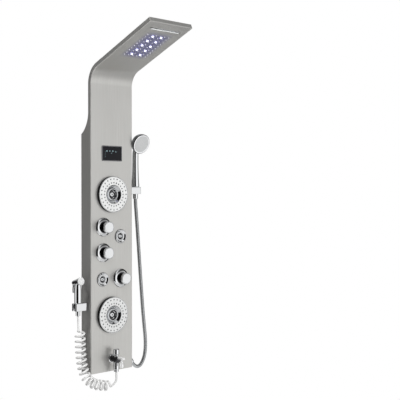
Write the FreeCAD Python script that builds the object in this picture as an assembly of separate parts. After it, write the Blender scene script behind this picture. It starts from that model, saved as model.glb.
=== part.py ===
"""Wall-hung shower panel column: one folded stainless sheet with a shower head arm,
two round spray heads, two side jets, three knobs, a hand shower, a tub spout and a
bidet sprayer on a coiled hose.

All sizes are millimetres. While it is drawn, the column stands with its front face on
y = 0, its lower edge on z = 0 and x = 0 on its middle line; -Y is the room, +Y the wall.
Every finished piece is then moved so that the origin is the middle of the two screw
holes of the upper wall bracket, on the wall.
"""
import FreeCAD, Part
import math
import os

V = FreeCAD.Vector

# ---- driving dimensions: the folded column ------------------------------------------
PANEL_WIDTH = 200.0
SHEET = 1.5
COLUMN_DEPTH = 60.5
SLIM_DEPTH = 16.5
SLIM_FROM_Z = 995.0
FLARE_RADIUS = 100.0
BEND_VERTEX_Z = 1144.3
BEND_RADIUS = 65.0
ARM_RISE = math.radians(22.0)
ARM_LENGTH = 375.0
FOLD_RADIUS = 2.5
RETURN_WIDTH = 10.0
COVER_SHEET = 1.2
COVER_GAP = 0.1
HALF = PANEL_WIDTH / 2
INSIDE = HALF - SHEET

# ---- wall brackets --------------------------------------------------------------------
BRACKET_Z = {"upper": 870.0, "lower": 110.0}
SCREW_DROP = 8.0
SCREW_SPACING = 120.0
SCREW_HOLE_R = 3.0
BRACKET_WIDTH = 160.0

# ---- shower head arm ------------------------------------------------------------------
NOZZLE_COLUMNS = [-50.0, -30.0, -10.0, 10.0, 30.0, 50.0]
NOZZLE_ROWS = [150.0 + 16.0 * row for row in range(10)]
LAMP_COLUMNS = [-20.0, 20.0]
LAMP_ROWS = [158.0 + 32.0 * row for row in range(5)]
LAMP_R = 4.0
WATER_BOX_FROM = 138.0
WATER_BOX_TO = 322.0
SLOT_FROM = 331.0
SLOT_TO = 339.0
SLOT_HALF = 72.0
LIP_HALF = 64.0

# ---- front fittings: (x, z) on the face -------------------------------------------------
DISPLAY_Z = 839.5
BIG_JETS = {"upper": 681.8, "lower": 216.9}
SMALL_JETS = {"right": (42.0, 519.0), "left": (-44.0, 356.4)}
KNOBS = {"hot": (-41.0, 557.0), "cold": (-41.0, 459.0), "diverter": (43.0, 356.5)}
PLATE_R = 69.0
BALL_R = 26.0
BALL_DEPTH = 6.0
SMALL_BALL_R = 16.5
SMALL_BALL_DEPTH = 9.0
STEM_R = 30.0
SMALL_STEM_R = 20.0
ESCUTCHEON_R = 36.0
KNOB_R = 22.5
CARTRIDGE_R = 14.5
SPINDLE_R = 4.0
SPINDLE_PLAY = 0.06
INLET_R = 10.48

# ---- side fittings ----------------------------------------------------------------------
HOLDER_X = 140.0
HOLDER_Y = 28.0
HOLDER_END = 158.0
HOLDER_HALF_DEPTH = 15.0
HOLDER_HEIGHT = 28.0
SOCKET_R = 12.7
HANDSET_HOLDER_TOP = 711.0
SPRAYER_HOLDER_TOP = 271.0
BOSS_R = 5.0
HEAD_CENTRE = V(HOLDER_X, -10.0, 880.0)
HEAD_TILT = math.radians(21.0)
HEAD_R = 40.0
HOSE_R = 7.0
HOSE_TOP_Z = 664.0
OUTLET_Z = 30.0
OUTLET_DIP = math.radians(51.0)

# ---- tub spout -------------------------------------------------------------------------
SPOUT_Z = 48.5
SPOUT_COLUMN_Y = -26.0
SPOUT_ARM_Z = 56.0
AERATOR_Y = -59.0

# ---- coiled sprayer hose ------------------------------------------------------------------
WIRE_R = 3.8
COIL_R = 17.2
COIL_TURNS = 15
SPRAYER_NUT_BOTTOM = 224.0

Y_OUT = V(0, -1, 0)
NAMES = []


def save(name, shape):
    """Move a piece to the bracket origin and write it."""
    moved = shape.copy()
    moved.translate(V(0, -COLUMN_DEPTH, SCREW_DROP - BRACKET_Z["upper"]))
    moved.exportStep("parts/" + name + ".step")
    NAMES.append(name)


# ---- small makers --------------------------------------------------------------------------
def block(x0, x1, y0, y1, z0, z1):
    return Part.makeBox(x1 - x0, y1 - y0, z1 - z0, V(x0, y0, z0))


def rod(radius, start, end):
    along = end.sub(start)
    return Part.makeCylinder(radius, along.Length, start, along)


def taper(r0, r1, start, end):
    along = end.sub(start)
    return Part.makeCone(r0, r1, along.Length, start, along)


def fuse(*shapes):
    body = shapes[0].fuse(list(shapes[1:])) if len(shapes) > 1 else shapes[0]
    return body.removeSplitter()


def turned(outline, seat=V(0, 0, 0), axis=V(0, 0, 1)):
    """Turn a closed outline of (radius, height) about an axis.

    A step of four numbers is an arc: a radius and height on it, then its end.
    """
    edges = []
    here = outline[0]
    for step in outline[1:] + [outline[0]]:
        start = V(here[0], 0, here[1])
        end = V(step[-2], 0, step[-1])
        if len(step) == 4:
            edges.append(Part.Arc(start, V(step[0], 0, step[1]), end).toShape())
        else:
            edges.append(Part.makeLine(start, end))
        here = (step[-2], step[-1])
    solid = Part.Face(Part.Wire(edges)).revolve(V(0, 0, 0), V(0, 0, 1), 360)
    if solid.Volume < 0:
        solid.reverse()
    solid.Placement = FreeCAD.Placement(seat, FreeCAD.Rotation(V(0, 0, 1), axis))
    return solid


def side_profile(steps, x0, x1):
    """Extrude a closed (y, z) outline from x0 to x1; four numbers are an arc as above."""
    edges = []
    here = steps[0]
    for step in steps[1:] + [steps[0]]:
        start = V(x0, here[0], here[1])
        end = V(x0, step[-2], step[-1])
        if len(step) == 4:
            edges.append(Part.Arc(start, V(x0, step[0], step[1]), end).toShape())
        else:
            edges.append(Part.makeLine(start, end))
        here = (step[-2], step[-1])
    return Part.Face(Part.Wire(edges)).extrude(V(x1 - x0, 0, 0))


def rounded_path(points, radius=None):
    """Straight runs joined by tangent arcs; returns the wire, its length and its radii.

    Without a stated radius each arc is as large as its two runs allow.
    """
    edges = []
    radii = []
    here = points[0]
    for before, corner, after in zip(points, points[1:], points[2:]):
        run_in = corner.sub(before)
        run_out = after.sub(corner)
        turn = run_in.getAngle(run_out)
        shorter = min(run_in.Length, run_out.Length)
        bend = radius if radius else 0.45 * shorter / math.tan(turn / 2)
        reach = bend * math.tan(turn / 2)
        start = corner.sub(V(run_in).normalize().multiply(reach))
        end = corner.add(V(run_out).normalize().multiply(reach))
        middle = start.add(end).multiply(0.5)
        inward = middle.sub(corner).normalize()
        centre = corner.add(inward.multiply(bend / math.cos(turn / 2)))
        crown = centre.add(corner.sub(centre).normalize().multiply(bend))
        edges.append(Part.makeLine(here, start))
        edges.append(Part.Arc(start, crown, end).toShape())
        radii.append(round(bend, 1))
        here = end
    edges.append(Part.makeLine(here, points[-1]))
    return Part.Wire(edges), radii


def tube(points, radius, bend=None, label=None):
    """Solid round tube along a route of points."""
    path, radii = rounded_path(points, bend)
    direction = points[1].sub(points[0])
    ring = Part.Wire(Part.makeCircle(radius, points[0], direction))
    solid = path.makePipeShell([ring], True, False)
    expected = math.pi * radius ** 2 * path.Length
    if label:
        print(label, "length", round(path.Length, 1), "radii", radii,
              "volume / section x length", round(solid.Volume / expected, 4))
    return solid


def hexagon(across_flats, hole_r, seat, axis, thickness):
    """Hex nut standing on its seat, with a round hole."""
    corner = across_flats / math.sqrt(3)
    turns = [math.radians(60 * k) for k in range(7)]
    ring = Part.makePolygon([V(corner * math.cos(a), corner * math.sin(a), 0) for a in turns])
    nut = Part.Face(ring).extrude(V(0, 0, thickness))
    nut = nut.cut(Part.makeCylinder(hole_r, thickness))
    nut.Placement = FreeCAD.Placement(seat, FreeCAD.Rotation(V(0, 0, 1), axis))
    return nut


# ---- the arm's own frame: x across, run along the arm from the bend, rise off the sheet ----
def on_arm(run, rise):
    """(y, z) of a place on the shower head arm."""
    along_y = -math.cos(ARM_RISE) * run + math.sin(ARM_RISE) * rise
    along_z = math.sin(ARM_RISE) * run + math.cos(ARM_RISE) * rise
    return along_y, BEND_VERTEX_Z + along_z


def to_arm(shape):
    """Place a piece drawn with y = -run and z = rise onto the arm."""
    tilt = FreeCAD.Rotation(V(1, 0, 0), -math.degrees(ARM_RISE))
    shape.Placement = FreeCAD.Placement(V(0, 0, BEND_VERTEX_Z), tilt).multiply(shape.Placement)
    return shape


BEND_TURN = math.pi / 2 - ARM_RISE
BEND_REACH = BEND_RADIUS * math.tan(BEND_TURN / 2)
BEND_CENTRE = (-BEND_RADIUS, BEND_VERTEX_Z - BEND_REACH)


def on_bend(depth, turn):
    """(y, z) in the concave bend, at a depth behind the front face."""
    radius = BEND_RADIUS + depth
    return BEND_CENTRE[0] + radius * math.cos(turn), BEND_CENTRE[1] + radius * math.sin(turn)


def on_flare(depth, turn):
    """(y, z) on the flare of the side flange, depth inside its edge."""
    radius = FLARE_RADIUS + depth
    centre_y = SLIM_DEPTH + FLARE_RADIUS
    return centre_y - radius * math.cos(turn), SLIM_FROM_Z - radius * math.sin(turn)


FLARE_TURN = math.acos((SLIM_DEPTH + FLARE_RADIUS - COLUMN_DEPTH) / FLARE_RADIUS)
SHOULDER_Z = on_flare(0, FLARE_TURN)[1]


# ---- folded column ---------------------------------------------------------------------------
def column_block():
    """Outer form of the folded sheet, full width."""
    steps = [
        (0, 0),
        (0, BEND_CENTRE[1]),
        on_bend(0, BEND_TURN / 2) + on_bend(0, BEND_TURN),
        on_arm(ARM_LENGTH, 0),
        on_arm(ARM_LENGTH, SLIM_DEPTH),
        on_bend(SLIM_DEPTH, BEND_TURN),
        on_bend(SLIM_DEPTH, BEND_TURN / 2) + on_bend(SLIM_DEPTH, 0),
        (SLIM_DEPTH, SLIM_FROM_Z),
        on_flare(0, FLARE_TURN / 2) + on_flare(0, FLARE_TURN),
        (COLUMN_DEPTH, 0),
    ]
    return side_profile(steps, -HALF, HALF)


def column_inside():
    """Room inside the folded sheet, open to the wall and on top of the arm."""
    steps = [
        (SHEET, -10),
        (SHEET, BEND_CENTRE[1]),
        on_bend(SHEET, BEND_TURN / 2) + on_bend(SHEET, BEND_TURN),
        on_arm(ARM_LENGTH - SHEET, SHEET),
        on_arm(ARM_LENGTH - SHEET, SLIM_DEPTH + 60),
        (COLUMN_DEPTH + 60, BEND_VERTEX_Z + 200),
        (COLUMN_DEPTH + 60, -10),
    ]
    return side_profile(steps, -INSIDE, INSIDE)


def is_fold(edge):
    """True for the long folds of the face, the arm's underside and its tip."""
    ends = [v.Point for v in edge.Vertexes]
    if max(p.z for p in ends) < 1:
        return False
    for p in ends:
        run = (p.z - BEND_VERTEX_Z) * math.sin(ARM_RISE) - p.y * math.cos(ARM_RISE)
        rise = (p.z - BEND_VERTEX_Z) * math.cos(ARM_RISE) + p.y * math.sin(ARM_RISE)
        on_face = abs(p.y) < 0.01
        on_underside = abs(rise) < 0.01 and run > 0
        if not (on_face or on_underside):
            return False
    return True


def face_holes():
    """Every opening cut through the front sheet and the flanges."""
    front, back = -5.0, 10.0
    cuts = [block(-42.3, 42.3, front, back, DISPLAY_Z - 23.8, DISPLAY_Z + 23.8)]
    for z in BIG_JETS.values():
        cuts.append(rod(STEM_R + 0.5, V(0, front, z), V(0, back, z)))
    for x, z in SMALL_JETS.values():
        cuts.append(rod(SMALL_STEM_R + 0.5, V(x, front, z), V(x, back, z)))
    for x, z in KNOBS.values():
        cuts.append(rod(CARTRIDGE_R + 1, V(x, front, z), V(x, back, z)))
    cuts.append(rod(9.5, V(0, front, SPOUT_Z), V(0, back, SPOUT_Z)))
    for side, top in ((1, HANDSET_HOLDER_TOP), (-1, SPRAYER_HOLDER_TOP)):
        z = top - HOLDER_HEIGHT / 2
        cuts.append(rod(BOSS_R + 0.3, V(side * 90, HOLDER_Y, z), V(side * 110, HOLDER_Y, z)))
    cuts.append(rod(7.3, V(90, HOLDER_Y, OUTLET_Z), V(110, HOLDER_Y, OUTLET_Z)))
    return cuts


def arm_holes(nozzle_r, lamp_r, low, high):
    """Round holes for the spray nozzles and the lamps, from one rise to another."""
    cuts = []
    if nozzle_r:
        for x in NOZZLE_COLUMNS:
            for run in NOZZLE_ROWS:
                cuts.append(to_arm(rod(nozzle_r, V(x, -run, low), V(x, -run, high))))
    for x in LAMP_COLUMNS:
        for run in LAMP_ROWS:
            cuts.append(to_arm(rod(lamp_r, V(x, -run, low), V(x, -run, high))))
    return cuts


def panel_shell():
    outer = column_block()
    outer = outer.makeFillet(FOLD_RADIUS, [e for e in outer.Edges if is_fold(e)])
    shell = outer.cut(column_inside())
    returns = []
    for side in (-1, 1):
        x0, x1 = sorted((side * (INSIDE - RETURN_WIDTH), side * INSIDE))
        returns.append(block(x0, x1, COLUMN_DEPTH - SHEET, COLUMN_DEPTH, 0, SHOULDER_Z - 4))
    shell = fuse(shell, *returns)
    slot = to_arm(block(-SLOT_HALF, SLOT_HALF, -SLOT_TO, -SLOT_FROM, -3, 5))
    return shell.cut(face_holes() + arm_holes(2.3, LAMP_R + 0.2, -3, 3) + [slot])


def arm_cover():
    """Bent sheet that closes the top of the arm and the back of the slim stretch."""
    rise = SLIM_DEPTH - COVER_SHEET
    end = ARM_LENGTH - SHEET - COVER_GAP
    steps = [
        on_arm(end, SLIM_DEPTH),
        on_bend(SLIM_DEPTH, BEND_TURN),
        on_bend(SLIM_DEPTH, BEND_TURN / 2) + on_bend(SLIM_DEPTH, 0),
        (SLIM_DEPTH, SLIM_FROM_Z),
        on_flare(0, FLARE_TURN / 2) + on_flare(0, FLARE_TURN),
        on_flare(COVER_SHEET, FLARE_TURN),
        on_flare(COVER_SHEET, FLARE_TURN / 2) + on_flare(COVER_SHEET, 0),
        (rise, BEND_CENTRE[1]),
        on_bend(rise, BEND_TURN / 2) + on_bend(rise, BEND_TURN),
        on_arm(end, rise),
    ]
    return side_profile(steps, -INSIDE + COVER_GAP, INSIDE - COVER_GAP)


# ---- wall brackets and the rails that hang on them ------------------------------------------------
WALL = COLUMN_DEPTH


def wall_bracket(level):
    """Flat strip screwed to the wall, with a lip turned up for the rail."""
    steps = [
        (WALL - 2, level - 18),
        (WALL, level - 18),
        (WALL, level + 6),
        (WALL - 4, level + 6),
        (WALL - 4, level + 15.5),
        (WALL - 6, level + 15.5),
        (WALL - 6, level + 4),
        (WALL - 2, level + 4),
    ]
    strip = side_profile(steps, -BRACKET_WIDTH / 2, BRACKET_WIDTH / 2)
    holes = []
    for side in (-1, 1):
        x = side * SCREW_SPACING / 2
        holes.append(rod(SCREW_HOLE_R, V(x, WALL - 10, level - SCREW_DROP),
                         V(x, WALL + 5, level - SCREW_DROP)))
    return strip.cut(holes)


def hanger_rail(level):
    """Rail between the flanges, hooked over the bracket's lip."""
    steps = [
        (WALL - 10, level - 14),
        (WALL - 8, level - 14),
        (WALL - 8, level + 15.5),
        (WALL - 3.5, level + 15.5),
        (WALL - 3.5, level + 8),
        (WALL - 1.7, level + 8),
        (WALL - 1.7, level + 17.5),
        (WALL - 10, level + 17.5),
    ]
    width = INSIDE - RETURN_WIDTH
    return side_profile(steps, -width, width)


def rail_tabs(level):
    """Welded ends that carry the rail on the flanges."""
    tabs = []
    for side in (-1, 1):
        x0, x1 = sorted((side * (INSIDE - RETURN_WIDTH), side * INSIDE))
        tabs.append(block(x0, x1, WALL - 10, WALL - 8, level - 14, level + 17.5))
    return tabs


# ---- shower head in the arm -------------------------------------------------------------------------
def rain_nozzle_mat():
    """Soft mat behind the sheet whose sixty tips stick out through it."""
    tips = []
    for x in NOZZLE_COLUMNS:
        for run in NOZZLE_ROWS:
            tips.append(taper(1.3, 2.1, V(x, -run, -2.0), V(x, -run, SHEET)))
    mat = to_arm(fuse(block(-58, 58, -302, -142, SHEET, SHEET + 1.5), *tips))
    return mat.cut(arm_holes(None, LAMP_R + 0.2, -3, 6))


def rain_water_box():
    box = to_arm(block(-62, 62, -WATER_BOX_TO, -WATER_BOX_FROM, SHEET + 1.5, 11.0))
    return box.cut(arm_holes(None, LAMP_R + 0.2, -3, 20))


def lamp_lenses():
    """Ten clear light pipes with a low dome outside."""
    lens = [(0, -2.2), (2.6, -1.6, LAMP_R, 0), (LAMP_R, 11.0), (0, 11.0)]
    lenses = []
    for x in LAMP_COLUMNS:
        for run in LAMP_ROWS:
            lenses.append(to_arm(turned(lens, V(x, -run, 0))))
    return Part.makeCompound(lenses)


def lamp_board():
    return to_arm(block(-28, 28, -298, -146, 11.0, 12.6))


def waterfall_outlet():
    """Flat outlet box with the slot that pours and the lip that guides the sheet of water."""
    box = block(-76, 76, -346, -WATER_BOX_TO, SHEET, 11.0)
    lip = block(-LIP_HALF, LIP_HALF, -(SLOT_FROM + 2), -SLOT_FROM, -3.0, SHEET)
    room = block(-70, 70, -(SLOT_TO - 1), -(SLOT_FROM + 2), SHEET - 1, 8.5)
    return to_arm(fuse(box, lip).cut(room))


# ---- display -----------------------------------------------------------------------------------------
def display_bezel():
    frame = block(-48, 48, -2.5, 0, DISPLAY_Z - 29.5, DISPLAY_Z + 29.5)
    upright = [e for e in frame.Edges if abs(e.Vertexes[0].Y - e.Vertexes[1].Y) > 1]
    frame = frame.makeFillet(3.0, upright)
    return frame.cut(block(-45.2, 45.2, -5, 5, DISPLAY_Z - 26.7, DISPLAY_Z + 26.7))


def display_glass():
    return block(-45, 45, -1.8, 0, DISPLAY_Z - 26.5, DISPLAY_Z + 26.5)


def display_housing():
    return block(-42, 42, 0, 20, DISPLAY_Z - 23.5, DISPLAY_Z + 23.5)


# ---- large round spray heads ---------------------------------------------------------------------------
def pocket_arc(radius, centre_h, start_r, end_r):
    """Arc step of a spherical pocket, from one radius to another, behind its centre."""
    a0 = math.acos(start_r / radius)
    a1 = math.acos(end_r / radius)
    mid = (a0 + a1) / 2
    return (radius * math.cos(mid), centre_h - radius * math.sin(mid),
            end_r, centre_h - radius * math.sin(a1))


def big_jet_body(z):
    pocket = BALL_R + 0.5
    outline = [
        (70.5, 0),
        (70.5, 1.5),
        (PLATE_R + 0.4, 12.2),
        (PLATE_R - 0.4, 13.3),
        (PLATE_R - 1.6, 13.3),
        (PLATE_R - 1.6, 10),
        (36.2, 10),
        (36.2, 2),
        (pocket, 2),
        (pocket, -BALL_DEPTH),
        pocket_arc(pocket, -BALL_DEPTH, pocket, 6.0),
        (6.0, -36),
        (STEM_R, -36),
        (STEM_R, 0),
    ]
    return turned(outline, V(0, 0, z), Y_OUT)


def spray_plate(z):
    """White ring plate with two circles of twenty-four nozzle tips."""
    ring = turned([(36.6, 10), (36.6, 12.6), (66.6, 12.6), (67.2, 12.0), (67.2, 10)],
                  V(0, 0, z), Y_OUT)
    tips = []
    for circle_r in (59.5, 45.0):
        for k in range(24):
            a = math.radians(15 * k)
            x, up = circle_r * math.cos(a), z + circle_r * math.sin(a)
            corners = []
            for c in range(7):
                b = math.radians(60 * c)
                corners.append(V(x + 1.6 * math.cos(b), -12, up + 1.6 * math.sin(b)))
            tips.append(Part.Face(Part.makePolygon(corners)).extrude(V(0, -1.6, 0)))
    return fuse(ring, *tips)


def jet_cup(z):
    """Chrome dish that holds the ball in its pocket."""
    outline = [(35.9, 2), (35.9, 12.8), (34.8, 13.4), (25.2, 3.6), (25.2, 2)]
    return turned(outline, V(0, 0, z), Y_OUT)


def jet_ball(radius, depth, rim_h, nozzle_r, seat):
    """Ball with a hollow front and a nozzle standing in it."""
    rim_r = math.sqrt(radius ** 2 - (rim_h + depth) ** 2)
    low = -depth - radius
    floor = rim_h - 0.55 * rim_r
    outline = [
        (0, low),
        (radius * 0.94, -depth - radius * 0.34, rim_r, rim_h),
        (rim_r - 1.8, rim_h),
        (rim_r * 0.78, floor + 2.0),
        (rim_r * 0.66, floor),
        (nozzle_r, floor),
        (nozzle_r * 0.8, floor + 6),
        (nozzle_r * 0.35, floor + 6),
        (nozzle_r * 0.35, floor + 2),
        (0, floor + 2),
    ]
    mid_h = (low + rim_h) / 2
    side = math.sqrt(radius ** 2 - (mid_h + depth) ** 2)
    outline[1] = (side, mid_h, rim_r, rim_h)
    return turned(outline, seat, Y_OUT)


# ---- small side jets --------------------------------------------------------------------------------------
def small_jet_bezel(x, z):
    """Round bezel, dish and open-backed pocket in one piece."""
    pocket = SMALL_BALL_R + 0.4
    lip_r = 15.2
    lip_h = -SMALL_BALL_DEPTH + math.sqrt(pocket ** 2 - lip_r ** 2)
    mid = (lip_r + pocket) / 2 + 0.35
    outline = [
        (27.0, 0),
        (27.0, 1.6),
        (25.6, 4.0),
        (23.6, 4.8),
        (lip_r, lip_h + 1.2),
        (lip_r, lip_h),
        (mid, -SMALL_BALL_DEPTH + math.sqrt(pocket ** 2 - mid ** 2), pocket, -SMALL_BALL_DEPTH),
        (pocket, -27.5),
        (SMALL_STEM_R, -27.5),
        (SMALL_STEM_R, 0),
    ]
    return turned(outline, V(x, 0, z), Y_OUT)


def back_nuts():
    """Ring nuts of the spray heads, cap nuts of the side jets, hex nuts of the holders and spout."""
    nuts = []
    for z in BIG_JETS.values():
        nuts.append(turned([(30.3, -9.5), (38, -9.5), (38, -SHEET), (30.3, -SHEET)],
                           V(0, 0, z), Y_OUT))
    for x, z in SMALL_JETS.values():
        cap = [(0, -34), (23, -34), (25, -32), (25, -SHEET), (20.2, -SHEET), (20.2, -28), (0, -28)]
        nuts.append(turned(cap, V(x, 0, z), Y_OUT))
    for side, top in ((1, HANDSET_HOLDER_TOP), (-1, SPRAYER_HOLDER_TOP)):
        seat = V(side * INSIDE, HOLDER_Y, top - HOLDER_HEIGHT / 2)
        nuts.append(hexagon(16, BOSS_R + 0.05, seat, V(-side, 0, 0), 6))
    nuts.append(hexagon(26, 9.05, V(0, SHEET, SPOUT_Z), V(0, 1, 0), 7))
    return Part.makeCompound(nuts)


# ---- knobs --------------------------------------------------------------------------------------------------
def escutcheon(x, z):
    outline = [(36, 0), (36, 2.2), (34.6, 3.8), (27.5, 7.6, 19.6, 9.0), (16, 9.0), (16, 0)]
    return turned(outline, V(x, 0, z), Y_OUT)


def knob(x, z):
    """Waisted knob on its spindle."""
    outline = [
        (0, -10),
        (SPINDLE_R, -10),
        (SPINDLE_R, 12),
        (8, 12),
        (8, 33),
        (12.6, 33),
        (12.6, 9.6),
        (16.6, 9.6),
        (16.0, 11.5),
        (16.4, 20.5, 19.4, 26.2),
        (22.0, 28.4),
        (KNOB_R, 30.0),
        (KNOB_R, 36.2),
        (20.8, 38.0),
        (0, 38.4),
    ]
    return turned(outline, V(x, 0, z), Y_OUT)


def cartridge(x, z):
    bore = SPINDLE_R + SPINDLE_PLAY
    outline = [(0, -30), (CARTRIDGE_R, -30), (CARTRIDGE_R, 0), (11.8, 0), (11.8, 7), (bore, 7),
               (bore, -12), (0, -12)]
    return turned(outline, V(x, 0, z), Y_OUT)


# ---- water ways behind the face ---------------------------------------------------------------------------------
PIPE_Y = 24.0


def socket(x, z):
    """Cup in the brass body that holds one cartridge."""
    cup = rod(17, V(x, SHEET, z), V(x, 38, z))
    return cup, rod(CARTRIDGE_R + 0.2, V(x, 0, z), V(x, 30.2, z))


def valve_manifold():
    """Brass body of the hot and cold valves; both threaded inlets point at the wall."""
    hot_x, hot_z = KNOBS["hot"]
    cold_x, cold_z = KNOBS["cold"]
    hot_cup, hot_room = socket(hot_x, hot_z)
    cold_cup, cold_room = socket(cold_x, cold_z)
    mix_z = 485.0
    body = fuse(
        hot_cup,
        cold_cup,
        rod(9, V(hot_x, PIPE_Y, cold_z), V(hot_x, PIPE_Y, hot_z)),
        rod(7.5, V(hot_x, PIPE_Y, mix_z), V(-26, PIPE_Y, mix_z)),
        tube([V(hot_x, PIPE_Y, hot_z), V(-70, PIPE_Y, hot_z), V(-70, 42, hot_z)], 8, 12),
        rod(INLET_R, V(-70, 38.5, hot_z), V(-70, 52.5, hot_z)),
        tube([V(cold_x, PIPE_Y, cold_z), V(-6, PIPE_Y, cold_z), V(-6, 42, cold_z)], 8, 12),
        rod(INLET_R, V(-6, 38.5, cold_z), V(-6, 52.5, cold_z)),
    )
    return body.cut([hot_room, cold_room])


def diverter_block():
    """Brass block behind the third knob, with one inlet and the outlets."""
    x, z = KNOBS["diverter"]
    cup, room = socket(x, z)
    return fuse(cup, block(25, 66, 18, 54, 339, 374)).cut(room)


def mixed_water_pipe():
    route = [V(-26, PIPE_Y, 485), V(80, PIPE_Y, 485), V(80, PIPE_Y, 356), V(66, PIPE_Y, 356)]
    return tube(route, 6.5, 12)


RISER_X = 55.0
RISER_Y = 40.0
RISER_R = 5.0
GENERATOR_Z = (735.0, 785.0)


def rain_riser():
    """Pipe from the diverter to the shower head, in two lengths either side of the turbine."""
    lower = rod(RISER_R, V(RISER_X, RISER_Y, 374), V(RISER_X, RISER_Y, GENERATOR_Z[0]))
    depth = 7.5
    join_y, join_z = on_bend(depth, BEND_TURN)
    end_y, end_z = on_arm(WATER_BOX_FROM, depth)
    corner_z = BEND_CENTRE[1] + (BEND_RADIUS + depth) * math.tan(BEND_TURN / 2)
    lean = [V(RISER_X, RISER_Y, GENERATOR_Z[1]), V(RISER_X, RISER_Y, 885),
            V(RISER_X, depth, 985), V(RISER_X, depth, 1060)]
    path, _ = rounded_path(lean, 60)
    edges = list(path.Edges)
    crown_y, crown_z = on_bend(depth, BEND_TURN / 2)
    bend_start = V(RISER_X, depth, BEND_CENTRE[1])
    edges.append(Part.makeLine(lean[-1], bend_start))
    edges.append(Part.Arc(bend_start, V(RISER_X, crown_y, crown_z),
                          V(RISER_X, join_y, join_z)).toShape())
    edges.append(Part.makeLine(V(RISER_X, join_y, join_z), V(RISER_X, end_y, end_z)))
    ring = Part.Wire(Part.makeCircle(RISER_R, lean[0], V(0, 0, 1)))
    upper = Part.Wire(edges).makePipeShell([ring], True, False)
    print("rain riser bend corner at", round(corner_z, 1))
    return Part.makeCompound([lower, upper])


def hydro_generator():
    low, high = GENERATOR_Z
    outline = [(0, low), (8, low), (8, low + 8), (14, low + 10), (14, high - 10), (8, high - 8),
               (8, high), (0, high)]
    return turned(outline, V(RISER_X, RISER_Y, 0))


FEED_X = 20.0
FEED_Y = 50.0


def jet_feed_pipe():
    """One upright pipe with a branch to each jet."""
    pieces = [rod(4.5, V(FEED_X, FEED_Y, BIG_JETS["lower"]), V(FEED_X, FEED_Y, BIG_JETS["upper"])),
              rod(4.5, V(FEED_X, FEED_Y, 350), V(25, FEED_Y, 350))]
    targets = [(0, z, 36) for z in BIG_JETS.values()]
    targets += [(x, z, 34) for x, z in SMALL_JETS.values()]
    for x, z, face in targets:
        pieces.append(rod(4.5, V(FEED_X, FEED_Y, z), V(x, FEED_Y, z)))
        pieces.append(rod(4.5, V(x, FEED_Y, z), V(x, face, z)))
        pieces.append(Part.makeSphere(4.5, V(x, FEED_Y, z)))
        pieces.append(Part.makeSphere(4.5, V(FEED_X, FEED_Y, z)))
    return fuse(*pieces)


def handset_feed_pipe():
    route = [V(58, 40, 339), V(58, 40, 85), V(68, HOLDER_Y, OUTLET_Z), V(88, HOLDER_Y, OUTLET_Z)]
    return tube(route, 4.5, 12)


def spout_feed_pipe():
    route = [V(38, 40, 339), V(38, 40, 80), V(0, 40, SPOUT_Z), V(0, 16, SPOUT_Z)]
    return tube(route, 4.5, 12)


# ---- holders on the side flanges ---------------------------------------------------------------------------------
def holder(side, top):
    """Bracket on a flange with a round socket, slit open at its outer end for the hose."""
    low = top - HOLDER_HEIGHT
    y0, y1 = HOLDER_Y - HOLDER_HALF_DEPTH, HOLDER_Y + HOLDER_HALF_DEPTH
    body = block(HALF, HOLDER_END, y0, y1, low, top)
    outer = [e for e in body.Edges if e.CenterOfMass.x > HOLDER_END - 0.1]
    upright = [e for e in outer if abs(e.Vertexes[0].Z - e.Vertexes[1].Z) > 1]
    body = body.makeFillet(4.0, upright)
    socket_hole = rod(SOCKET_R, V(HOLDER_X, HOLDER_Y, low - 1), V(HOLDER_X, HOLDER_Y, top + 1))
    slit = block(HOLDER_X, HOLDER_END + 5, HOLDER_Y - 4.5, HOLDER_Y + 4.5, low - 1, top + 1)
    boss = rod(BOSS_R, V(HALF - 13, HOLDER_Y, low + HOLDER_HEIGHT / 2),
               V(HALF + 1, HOLDER_Y, low + HOLDER_HEIGHT / 2))
    body = fuse(body.cut([socket_hole, slit]), boss)
    if side < 0:
        body = body.mirror(V(0, 0, 0), V(1, 0, 0))
    return body


# ---- hand shower -----------------------------------------------------------------------------------------------------
HEAD_NORMAL = V(0, -math.cos(HEAD_TILT), -math.sin(HEAD_TILT))


def handset_body():
    """Handle and round head of the hand shower, one chromed moulding."""
    grip_low = HANDSET_HOLDER_TOP + 0.3
    grip = [(0, grip_low), (14.5, grip_low), (15.6, grip_low + 1.5), (15.6, grip_low + 5),
            (13.0, grip_low + 50, 12.0, grip_low + 90), (12.0, 862), (9.5, 870), (0, 873)]
    dome = [(0, -34), (26, -30, 38.8, -12), (39.6, -6), (39.6, -1.5), (0, -1.5)]
    back = HEAD_CENTRE.add(V(HEAD_NORMAL).multiply(-20))
    neck = taper(12.0, 16.0, V(HOLDER_X, HOLDER_Y, 846), back)
    return fuse(turned(grip, V(HOLDER_X, HOLDER_Y, 0)), turned(dome, HEAD_CENTRE, HEAD_NORMAL), neck)


def handset_trim_ring():
    return turned([(36.2, -1.5), (40, -1.5), (40, 0.4), (38.6, 1.6), (36.2, 1.0)],
                  HEAD_CENTRE, HEAD_NORMAL)


def handset_face():
    return turned([(0, -1.5), (36, -1.5), (36, 0.2), (34.5, 0.8), (0, 0.8)],
                  HEAD_CENTRE, HEAD_NORMAL)


def hose_nut(x, bottom, top, low_r):
    """Long conical hose nut that seats in the holder's socket."""
    outline = [(0, bottom), (low_r - 0.6, bottom), (low_r, bottom + 1.2), (low_r, bottom + 12),
               (low_r + 0.4, bottom + 18), (12.2, top - 6), (12.2, top), (0, top)]
    return turned(outline, V(x, HOLDER_Y, 0))


OUTLET_ELBOW = V(106, HOLDER_Y, OUTLET_Z)
OUTLET_WAY = V(math.cos(OUTLET_DIP), 0, -math.sin(OUTLET_DIP))
OUTLET_NUT_FROM = 6.0
OUTLET_NUT_TO = 24.0


def on_outlet(distance):
    return OUTLET_ELBOW.add(V(OUTLET_WAY).multiply(distance))


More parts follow.
